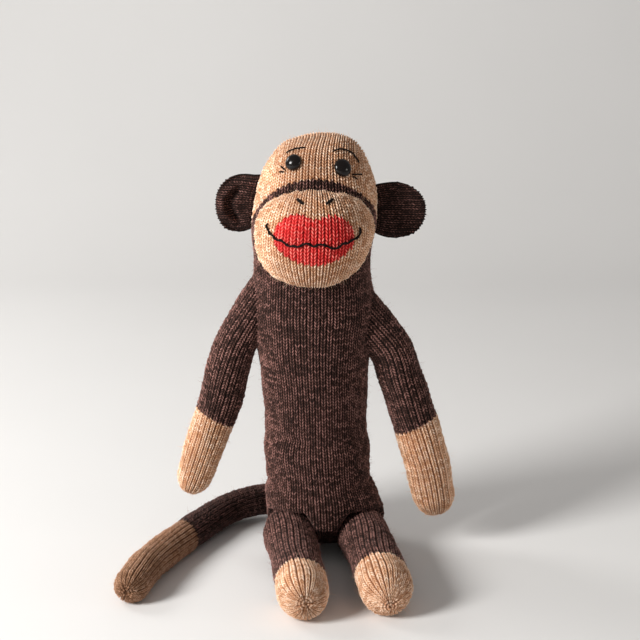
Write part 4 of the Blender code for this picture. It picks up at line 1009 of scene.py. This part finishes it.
def build_mouth():
    """The running stitch of the mouth, which dips into the cloth at each stitch, and the two nostrils."""
    shares = spline(MOUTH_SHARES, np.linspace(0, len(MOUTH_SHARES) - 1, 400))
    run = run_along(on_muzzle(shares, 0.0))
    lift = 0.0034 + 0.0008 * np.abs(np.sin(run * math.pi / STITCH_RUN)) ** 0.5
    ends = np.clip(np.minimum(run, run[-1] - run) / 0.01, 0, 1)
    shares[:, 1] += 0.013 * np.sin(2 * math.pi * run / STITCH_SWAY) * ends
    add_thread("mouth_stitches", "mouth_thread", on_muzzle(shares, lift), 0.0004, MOUTH_THREAD_RADIUS, 0.5)
    for side, word in SIDES.items():
        reach = np.linspace(-0.5, 0.5, 30) * NOSTRIL_LENGTH
        across = side * NOSTRIL_SPACING / 2 + reach * math.cos(NOSTRIL_SLOPE)
        up = NOSTRIL_RISE + side * reach * math.sin(NOSTRIL_SLOPE)
        shares = np.stack([across / (MUZZLE_WIDTH / 2), up / (MUZZLE_HEIGHT / 2)], axis=-1)
        lift = 0.0026 + 0.0014 * np.sqrt(1 - np.linspace(-1, 1, 30) ** 2)
        points = on_muzzle(shares, lift)
        add_thread(f"nostril_stitch_{word}", f"nostril_{word}", points, 0.0003, NOSTRIL_THREAD_RADIUS)


def eye_seat(side):
    place = head_form.place_at(CROWN_FRONT_HEIGHT + EYE_LIFT[side])
    section = head_form.sections(place)
    turn = math.asin((side * EYE_ACROSS[side] - section[3]) / section[1])
    return place, turn


def draped_crown(turns, places):
    """The draped head's surface at the height that the plain form has at a turn and place."""
    plain = head_form.point(turns, places)
    raised = drape(plain)[..., 2] - plain[..., 2]
    return drape(head_form.point(turns, head_form.place_at(plain[..., 2] - raised)))


def on_crown(turn, place, across, up, lift):
    """Places at distances across and up along the head's cloth from a start."""
    places = np.linspace(0, head_form.last, 2001)
    meridian = head_form.point(turn + 0 * places, places)
    lengths = run_along(meridian)
    there = np.interp(np.interp(place, places, lengths) + up, lengths, places)
    section = head_form.sections(place)
    turns = turn + across / math.hypot(section[1] * math.cos(turn), section[2] * math.sin(turn))
    return draped_crown(turns, there) + np.asarray(lift)[..., None] * head_form.normal(turns, there)


def turned_mesh(name, base, axis, profile, sides):
    """A profile of (distance along the axis, radius), turned round the axis."""
    axis = unit(np.asarray(axis, float))
    across = unit(np.cross(axis, (0, 0, 1) if abs(axis[2]) < 0.9 else (1, 0, 0)))
    other = np.cross(axis, across)
    profile = np.asarray(profile, float)
    angle = np.linspace(0, 2 * math.pi, sides, endpoint=False)
    spokes = np.cos(angle)[:, None] * across + np.sin(angle)[:, None] * other
    points = base + profile[:, 0, None, None] * axis + profile[:, 1, None, None] * spokes
    return ring_mesh(name, points, [base + profile[0, 0] * axis, base + profile[-1, 0] * axis])


def build_eyes():
    """Two glossy domes on stems, a finish for their washers, and the brows and lashes round them."""
    for side, word in SIDES.items():
        place, turn = eye_seat(side)
        seat, normal = draped_crown(turn, place), head_form.normal(turn, place)
        angles = np.radians(np.linspace(0, 88, 18))
        radius = EYE_RADIUS * EYE_FULLNESS[side]
        rim = [(0.0002, EYE_STEM_RADIUS), (0.0002, radius * 0.88), (0.0007, radius)]
        dome = [(0.0012 + EYE_DOME * math.sin(a), radius * math.cos(a)) for a in angles]
        profile = [(-EYE_STEM_LENGTH + 0.0004, EYE_STEM_RADIUS), *rim, *dome]
        mesh = turned_mesh(f"eye_dome_{word}", seat, normal, profile, 48)
        eye = add_object(f"eye_dome_{word}", mesh, material("eye plastic"), (f"eye_{word}",))
        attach(eye, "head")
        washer = frame["nodes"][f"eye_washer_{word}"]
        washer.data.materials.clear()
        washer.data.materials.append(material("washer plastic"))
        for name, shares in FACE_STITCH_SHARES.items():
            if word not in name:
                continue
            x, z = spline(shares, np.linspace(0, len(shares) - 1, 120)).T * EYE_RADIUS
            run = run_along(np.stack([x, z], axis=-1))
            stitches = max(1, round(run[-1] / 0.0052))
            lift = 0.0008 + 0.0007 * np.abs(np.sin(run / run[-1] * math.pi * stitches)) ** 0.5
            add_thread(f"{name}_stitch", name, on_crown(turn, place, x, z, lift), 0.0003, BROW_THREAD_RADIUS)


def ear_paths_of(side):
    """Paths of an ear's ribs: out from the gather along the front layer, round the rim and back along the other."""
    root, width, cup = -0.0042, EAR_WIDTH[side], EAR_CUP[side]
    hinge = joint_place("ear_fold_" + SIDES[side])
    widest = 0.36

    def paths(shares_up):
        up = 2 * shares_up - 1
        above = EAR_SLOPE[side] * np.clip(up, 0, 1)
        rim = width * (widest + (1 - widest) * np.maximum(1 - np.abs(up) ** 2.1, 0) ** (0.46 + 0.16 * above))
        swing = np.linspace(-math.pi / 2, math.pi / 2, PATH_STEPS)[:, None]
        sewn = root - 0.0045 * above**1.5
        across = sewn + (rim - sewn) * np.cos(swing) ** 0.8
        far = across / width
        top = np.where(up > 0, EAR_TOP[side], 1.0)
        rise = EAR_HEIGHT / 2 * top * up * (1 - (0.13 - 0.11 * above) * np.clip(1 - far / widest, 0, 1.4) ** 2)
        reach = np.hypot(far, rise / (EAR_HEIGHT / 2))
        forward = cup * (np.clip(far, 0, 0.8) ** 2 + 0.1 * np.minimum(reach, 1.2) ** 4)
        deep, rim_roll = (0.0042, 0.005) if side == LEFT else (0.0009, 0.0018)
        inward = width * (1 - np.minimum(reach, 1))
        fold = deep * bump(inward, 0.011, 0.003) * smoothstep(0.15, 0.4, far)
        fold = fold + rim_roll * np.clip(1 - inward / 0.0075, 0, 1) ** 1.4
        roll = 0.0009 * bump(across, 0, 0.0035)
        layer = (EAR_LAYER - 0.0002 + roll) * np.sin(swing) * np.sqrt(np.maximum(1 - up**8, 0))
        return hinge + np.stack([side * across, layer - forward + fold, rise + 0 * across], axis=-1)

    return paths


def build_ears():
    """Two layers of cloth joined at the rim and drawn together where each ear is sewn to the head."""
    for side, word in SIDES.items():
        paths = ear_paths_of(side)
        ordered = paths if side == RIGHT else (lambda shares: paths(1 - shares))
        cloth = Cloth(ordered, EAR_WALES, 31 + side, yarn=0.9, closed=False, lump=0.5)
        everything = np.ones((len(cloth.course) - 1, len(cloth.wale) - 1), bool)
        nodes = f"ear_{word}_front", f"ear_{word}_back", f"ear_gather_{word}"
        ear = cloth_object(f"knitted_ear_{word}", cloth, everything, "brown yarn", nodes)
        fuzz = fuzz_object(f"ear_fuzz_{word}", cloth, everything, "brown", 33 + side)
        ride_all((ear, fuzz), f"ear_{word}")


# Arms, legs and tail


class Limb:
    """A stuffed tube round a spine: a ball at the root, radius * swell along it, and a dome at the tip."""

    def __init__(self, spine, radius, swell, up, tip_share=1.15, gather=0.0, twist=0.0, drop=0.0):
        self.spine = spline(spine, np.linspace(0, len(spine) - 1, 400))
        self.lengths = run_along(self.spine)
        self.length = self.lengths[-1]
        self.radius = radius
        self.swell = np.asarray(swell)[:, None]
        self.up = np.array(up, float)
        self.dome = radius * tip_share
        self.gather = gather
        self.twist = twist
        self.drop = drop

    def frame(self, along):
        """The spine's place and its directions at a distance from the root. Before the root it runs straight on."""
        inside = np.clip(along, 0, self.length)

        def read(value):
            return np.stack([np.interp(value, self.lengths, self.spine[:, i]) for i in range(3)], axis=-1)

        step = self.length / 60
        low, high = np.clip(inside - step, 0, self.length), np.clip(inside + step, 0, self.length)
        way = unit(read(high) - read(low))
        side = unit(np.cross(self.up, way))
        return read(inside) + (along - inside)[:, None] * way, way, side, np.cross(way, side)

    def stations(self, inset=0.0, thin=0.0):
        """Distances along the spine and radii: sin and cos of an angle over the ball and the dome, the swell between.

        The radii lose a share, thin, at the root, and less of it further on.
        """
        root = self.radius * self.swell[0, 0] - inset
        straight = self.length - self.dome
        ball = np.radians(np.linspace(2, 88, 40))
        tube_along = np.linspace(0, straight, PATH_STEPS)
        steps = len(self.swell) - 1
        tube_radii = self.radius * spline(self.swell, tube_along / straight * steps)[:, 0] - inset
        tip = np.radians(np.linspace(2, 89, 60))
        tip_along = straight + (self.dome - inset) * np.sin(tip)
        tip_radii = tube_radii[-1] * np.cos(tip)
        tip_along = tip_along - self.gather * bump(tip_radii, 0, 0.0042)
        along = np.concatenate([-root * np.cos(ball), tube_along, tip_along])
        radii = np.concatenate([root * np.sin(ball), tube_radii, tip_radii])
        return along, radii * (1 - thin * (1 - smoothstep(0.02, 0.06, along)))

    def paths_round(self, shares):
        """The paths at shares of the way round."""
        return self.paths(2 * math.pi * shares)

    def paths(self, turns, inset=0.0, thin=0.0):
        along, radii = self.stations(inset, thin)
        place, _, side, other = self.frame(along)
        far = np.clip(along / self.length, 0, 1)[:, None]
        turns = turns + self.twist * far + 0.1 * far**3 * np.sin(3 * turns + 1) + 0.05 * np.sin(9 * far + 2 * turns)
        spokes = np.cos(turns)[..., None] * side[:, None] + np.sin(turns)[..., None] * other[:, None]
        low = np.where(along > self.length - self.dome, 1 - radii / self.radius, 0)[:, None, None]
        sunk = self.drop * low * np.array([0, 0, -1.0])
        return place[:, None] + radii[:, None, None] * spokes + np.clip(low, 0, 1) * sunk


def knit_limb(word, limb, wales, split, seed, nodes, clip, names, ribbed, yarns=("brown yarn", "tan yarn")):
    """A brown sleeve and a tan tip from one knitted tube. The colours meet at one course, where the limb is split."""
    cloth = Cloth(limb.paths_round, wales, seed, ribbed, trim=LIMB_TRIM, clip=clip, folds=LIMB_FOLDS)
    along, _ = limb.stations()
    run = run_along(limb.paths(np.zeros(1))[:, 0])
    change = np.interp(split, along, run / run[-1]) * cloth.courses
    tip = cloth.along[:-1] > change + 0.8 * np.sin(cloth.wale * 2 * math.pi / wales + seed)
    sleeve = cloth_object(names[0], cloth, ~tip, yarns[0], nodes[:1], start_pole=True)
    end = cloth_object(names[1], cloth, tip, yarns[1], nodes[1:], end_pole=True)
    sleeve_fuzz = fuzz_object(f"{word}_sleeve_fuzz", cloth, ~tip, "brown", seed + 1)
    tip_fuzz = fuzz_object(f"{word}_tip_fuzz", cloth, tip, "tan", seed + 2)
    return sleeve, sleeve_fuzz, end, tip_fuzz


def join_limb(pieces, fill, body):
    """The sleeve, its fuzz and its filling are fixed where they are made, and the tip rides whole with the limb's
    body.
    """
    for piece in (*pieces[:2], fill):
        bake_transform(piece)
    ride_all(pieces[2:], body)


def arm_limb(side):
    shoulder = joint_place("shoulder_" + SIDES[side])
    spine = [shoulder + np.array([side * x, 0, z]) for x, z in ARM_LINE[side]]
    return Limb(spine, ARM_RADIUS[side], ARM_SWELL_SHARES[side], (0, 1, 0), gather=0.0008)


def against_body(side, sink):
    """Lays what would be inside the body just under the body's own surface."""

    def clip(points):
        points = points.copy()
        section = sock_form.sections(sock_form.place_at(points[..., 2]))
        deep = np.sqrt(np.clip(1 - (points[..., 1] / section[..., 2]) ** 2, 0, 1))
        wall = side * section[..., 3] + section[..., 1] * deep - sink
        points[..., 0] = side * np.maximum(side * points[..., 0], wall)
        return points

    return clip


def build_arms():
    """Both arms with their hands."""
    for side, word in SIDES.items():
        limb = arm_limb(side)
        split = limb.length - HAND_SHARE * math.hypot(ARM_SPREAD[side], ARM_DROP[side])
        nodes = f"arm_sleeve_{word}", f"hand_{word}"
        names = f"knitted_sleeve_{word}", f"knitted_hand_{word}"
        clip = against_body(side, 0.0026)
        pieces = knit_limb(f"arm_{word}", limb, ARM_WALES, split, 41 + 4 * side, nodes, clip, names, 0.3)
        fill = limb_fill(f"arm_fill_{word}", limb, f"arm_stuffing_{word}", against_body(side, 0.005), 0.5)
        join_limb(pieces, fill, f"arm_{word}")


def on_floor(points):
    """Nothing reaches below the surface that the doll sits on."""
    points = points.copy()
    points[..., 2] = np.maximum(points[..., 2], REST_LIFT)
    return points


def leg_limb(side):
    hip = joint_place("hip_" + SIDES[side])
    way = np.array([math.sin(LEG_VEER[side]), -math.cos(LEG_VEER[side]), 0])
    aside = np.array([LEG_SHIFT[side], 0, 0])
    shares = ((0.0, 1.0), (0.33, 0.9), (0.67, 0.35), (1.0, 0.0))
    spine = [hip + way * LEG_LENGTH[side] * share + aside * shift for share, shift in shares]
    swell, twist, drop = LEG_SWELL_SHARES[side], LEG_TWIST[side], FOOT_DROP[side]
    return Limb(spine, LEG_RADIUS, swell, (0, 0, 1), tip_share=1.0, gather=0.001, twist=twist, drop=drop)


def build_legs():
    """Both legs with their feet."""
    for side, word in SIDES.items():
        limb = leg_limb(side)
        split = limb.length * (1 - FOOT_SHARE[side])
        nodes = f"leg_sleeve_{word}", f"foot_{word}"
        names = f"knitted_leg_{word}", f"knitted_foot_{word}"
        pieces = knit_limb(f"leg_{word}", limb, LEG_WALES, split, 61 + 4 * side, nodes, on_floor, names, 0.5)
        fill = limb_fill(f"leg_fill_{word}", limb, f"leg_stuffing_{word}", on_floor, 0.15)
        join_limb(pieces, fill, f"leg_{word}")


def tail_limb():
    root = joint_place("tail_swing")
    low = TAIL_RADIUS - REST_LIFT
    spine = [
        (root[0] - TAIL_REACH * x, root[1] - TAIL_FORWARD_REACH * y, low + (root[2] - low) * z)
        for (x, y), z in zip(TAIL_SPINE_SHARES, TAIL_HEIGHT_SHARES)
    ]
    return Limb(spine, TAIL_RADIUS, TAIL_SWELL_SHARES, (0, 0, 1), gather=0.0006)


def build_tail():
    """The tail, from the back of the seat round to the left, with its tan tip."""
    limb = tail_limb()
    split = limb.length * (1 - TAIL_TIP_SHARE) + TAIL_TIP_SHIFT
    nodes, names = ("tail_sleeve", "tail_tip"), ("knitted_tail", "knitted_tail_tip")
    # Yarns with painted shade: darker copies of the brown and tan yarns.
    yarns = "tail brown yarn", "tail tan yarn"
    pieces = knit_limb("tail", limb, TAIL_WALES, split, 81, nodes, on_floor, names, 0.5, yarns)
    ride_all((*pieces, limb_fill("tail_fill", limb, "tail_stuffing", on_floor, 0.0)), "tail")


# Stuffing


def limb_fill(name, limb, node, clip, thin):
    """Fibre fill of an arm, a leg or the tail, inside its cloth: thinner near the root, where the cloth bends."""
    turns = np.linspace(0, 2 * math.pi, 36, endpoint=False)
    return fill_object(name, clip(limb.paths(turns, FILL_INSET, thin)[::3]), (node,))


def fill_object(name, paths, nodes):
    """Fibre fill: a closed form over paths that run round it, with a slightly uneven surface."""
    normal = normals_of(paths, True)
    points = paths + normal * (0.0003 * waves(paths, 0.012, 5))[..., None]
    mesh = ring_mesh(name, points, [points[0].mean(axis=0), points[-1].mean(axis=0)])
    piece = add_object(name, mesh, material("fill"), nodes)
    return piece


def build_muzzle_stuffing():
    """Fibre fill of the muzzle: out from its middle to its edge on the pushed-out oval, and back along the face."""
    turns = np.linspace(math.pi, -math.pi, 48, endpoint=False)
    out = np.linspace(0.004, 0.996, 40)[:, None] + 0 * turns
    turn = turns + 0 * out
    front = muzzle_form(0.92 * out, turn, 0.0004, 1 - FILL_INSET / MUZZLE_BULGE)
    back = muzzle_form(0.92 * out, turn, 0.0004, 0.0)
    fill = fill_object("muzzle_fill", np.concatenate([front, back[::-1]]), ("muzzle_stuffing",))
    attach(fill, "head")


# Studio


def make_studio():
    """A pale sweep of floor and backdrop, a broad key light from the left, a rim light behind it and a faint fill."""
    shade = colours().backdrop
    floor, nodes, links, shader = new_material("studio paper", {"Roughness": 0.9, "Specular IOR Level": 0.1})
    place = add_node(nodes, "TexCoord")
    noise = add_node(nodes, "TexNoise", {"Scale": 3.0})
    ramp = ramp_node(nodes, ((0.3, scaled(shade, 0.98)), (0.7, tuple(shade))))
    wire(links, (place, "Object", noise, "Vector"), (noise, "Fac", ramp, "Fac"), (ramp, "Color", shader, "Base Color"))
    bend = np.radians(np.linspace(0, 90, 24))
    curve = zip(SWEEP_BACK + SWEEP_RADIUS * np.sin(bend), SWEEP_RADIUS * (1 - np.cos(bend)))
    profile = np.array([(-2.5, 0.0), *curve, (SWEEP_BACK + SWEEP_RADIUS, SWEEP_TOP)])
    points = np.array([[(x, y, z) for x in (-SWEEP_HALF, SWEEP_HALF)] for y, z in profile]).reshape(-1, 3)
    rows = np.arange(len(profile) - 1) * 2
    quads = np.stack([rows, rows + 1, rows + 3, rows + 2], axis=-1)
    mesh = make_mesh("studio_sweep", points, quads.ravel(), np.arange(len(quads)) * 4)
    mesh.materials.append(floor)
    link_object("studio_sweep", mesh)
    for lamp in LAMPS:
        add_lamp(*lamp)
    world = bpy.data.worlds.new("studio")
    world.use_nodes = True
    set_inputs(world.node_tree.nodes["Background"], {"Color": WORLD_COLOUR, "Strength": WORLD_STRENGTH})
    bpy.context.scene.world = world
    bpy.context.scene.view_settings.view_transform = "Standard"


def add_lamp(name, place, target, size, power, colour):
    lamp = bpy.data.lights.new(name, "AREA")
    lamp.shape = "DISK"
    lamp.size = size
    lamp.energy = power
    lamp.color = colour
    made = link_object(name, lamp)
    made.location = place
    way = np.array(target) - np.array(place)
    yaw = math.atan2(way[0], -way[1])
    pitch = math.atan2(math.hypot(way[0], way[1]), -way[2])
    made.rotation_euler = (pitch, 0, yaw + math.pi)


def make_camera():
    camera = bpy.data.cameras.new("camera")
    camera.lens = CAMERA_LENS
    camera.sensor_width = CAMERA_SENSOR
    made = link_object("camera", camera)
    made.location = CAMERA_PLACE
    made.rotation_euler = (math.radians(90 - CAMERA_ELEVATION), 0, 0)
    bpy.context.scene.camera = made


class SOCKDOLL_OT_sock(bpy.types.Operator):
    """Knit the body, the neck and the crown"""

    bl_idname = "sockdoll.sock"
    bl_label = "Body and head"

    def execute(self, context):
        build_sock()
        return {"FINISHED"}


class SOCKDOLL_OT_muzzle(bpy.types.Operator):
    """Knit the muzzle and the lips"""

    bl_idname = "sockdoll.muzzle"
    bl_label = "Muzzle and lips"

    def execute(self, context):
        build_muzzle()
        return {"FINISHED"}


class SOCKDOLL_OT_mouth(bpy.types.Operator):
    """Sew the mouth and the nostrils"""

    bl_idname = "sockdoll.mouth"
    bl_label = "Mouth and nostrils"

    def execute(self, context):
        build_mouth()
        return {"FINISHED"}


class SOCKDOLL_OT_eyes(bpy.types.Operator):
    """Fit the eyes and sew brows and lashes"""

    bl_idname = "sockdoll.eyes"
    bl_label = "Eyes, brows and lashes"

    def execute(self, context):
        build_eyes()
        return {"FINISHED"}


class SOCKDOLL_OT_ears(bpy.types.Operator):
    """Knit both ears and their gathers"""

    bl_idname = "sockdoll.ears"
    bl_label = "Ears"

    def execute(self, context):
        build_ears()
        return {"FINISHED"}


class SOCKDOLL_OT_arms(bpy.types.Operator):
    """Knit both arms and hands"""

    bl_idname = "sockdoll.arms"
    bl_label = "Arms and hands"

    def execute(self, context):
        build_arms()
        return {"FINISHED"}


class SOCKDOLL_OT_legs(bpy.types.Operator):
    """Knit both legs and feet"""

    bl_idname = "sockdoll.legs"
    bl_label = "Legs and feet"

    def execute(self, context):
        build_legs()
        return {"FINISHED"}


class SOCKDOLL_OT_tail(bpy.types.Operator):
    """Knit the tail and its tip"""

    bl_idname = "sockdoll.tail"
    bl_label = "Tail"

    def execute(self, context):
        build_tail()
        return {"FINISHED"}


class SOCKDOLL_OT_stuffing(bpy.types.Operator):
    """Fill the muzzle with its stuffing"""

    bl_idname = "sockdoll.stuffing"
    bl_label = "Stuffing"

    def execute(self, context):
        build_muzzle_stuffing()
        return {"FINISHED"}


class SOCKDOLL_OT_studio(bpy.types.Operator):
    """Set up the floor, the lights and the camera"""

    bl_idname = "sockdoll.studio"
    bl_label = "Studio"

    def execute(self, context):
        make_studio()
        make_camera()
        return {"FINISHED"}


OPERATORS = (
    SOCKDOLL_OT_sock,
    SOCKDOLL_OT_muzzle,
    SOCKDOLL_OT_mouth,
    SOCKDOLL_OT_eyes,
    SOCKDOLL_OT_ears,
    SOCKDOLL_OT_arms,
    SOCKDOLL_OT_legs,
    SOCKDOLL_OT_tail,
    SOCKDOLL_OT_stuffing,
    SOCKDOLL_OT_studio,
)


class SOCKDOLL_PT_panel(bpy.types.Panel):
    bl_idname = "SOCKDOLL_PT_panel"
    bl_label = "Sock Monkey"
    bl_space_type = "VIEW_3D"
    bl_region_type = "UI"
    bl_category = "Sock Monkey"

    def draw(self, context):
        for group in (context.scene.sock_doll_sizes, context.scene.sock_doll_colours):
            box = self.layout.box()
            for name in group.__annotations__:
                box.prop(group, name)
        for operator in OPERATORS:
            self.layout.operator(operator.bl_idname)


CLASSES = (DollSizes, DollColours, *OPERATORS, SOCKDOLL_PT_panel)


def register():
    for item in CLASSES:
        bpy.utils.register_class(item)
    bpy.types.Scene.sock_doll_sizes = bpy.props.PointerProperty(type=DollSizes)
    bpy.types.Scene.sock_doll_colours = bpy.props.PointerProperty(type=DollColours)


def unregister():
    del bpy.types.Scene.sock_doll_colours
    del bpy.types.Scene.sock_doll_sizes
    for item in reversed(CLASSES):
        bpy.utils.unregister_class(item)


def main():
    register()
    bpy.ops.sockdoll.sock()
    bpy.ops.sockdoll.muzzle()
    bpy.ops.sockdoll.mouth()
    bpy.ops.sockdoll.eyes()
    bpy.ops.sockdoll.ears()
    bpy.ops.sockdoll.arms()
    bpy.ops.sockdoll.legs()
    bpy.ops.sockdoll.tail()
    bpy.ops.sockdoll.stuffing()
    bpy.ops.sockdoll.studio()


if __name__ == "__main__":
    main()
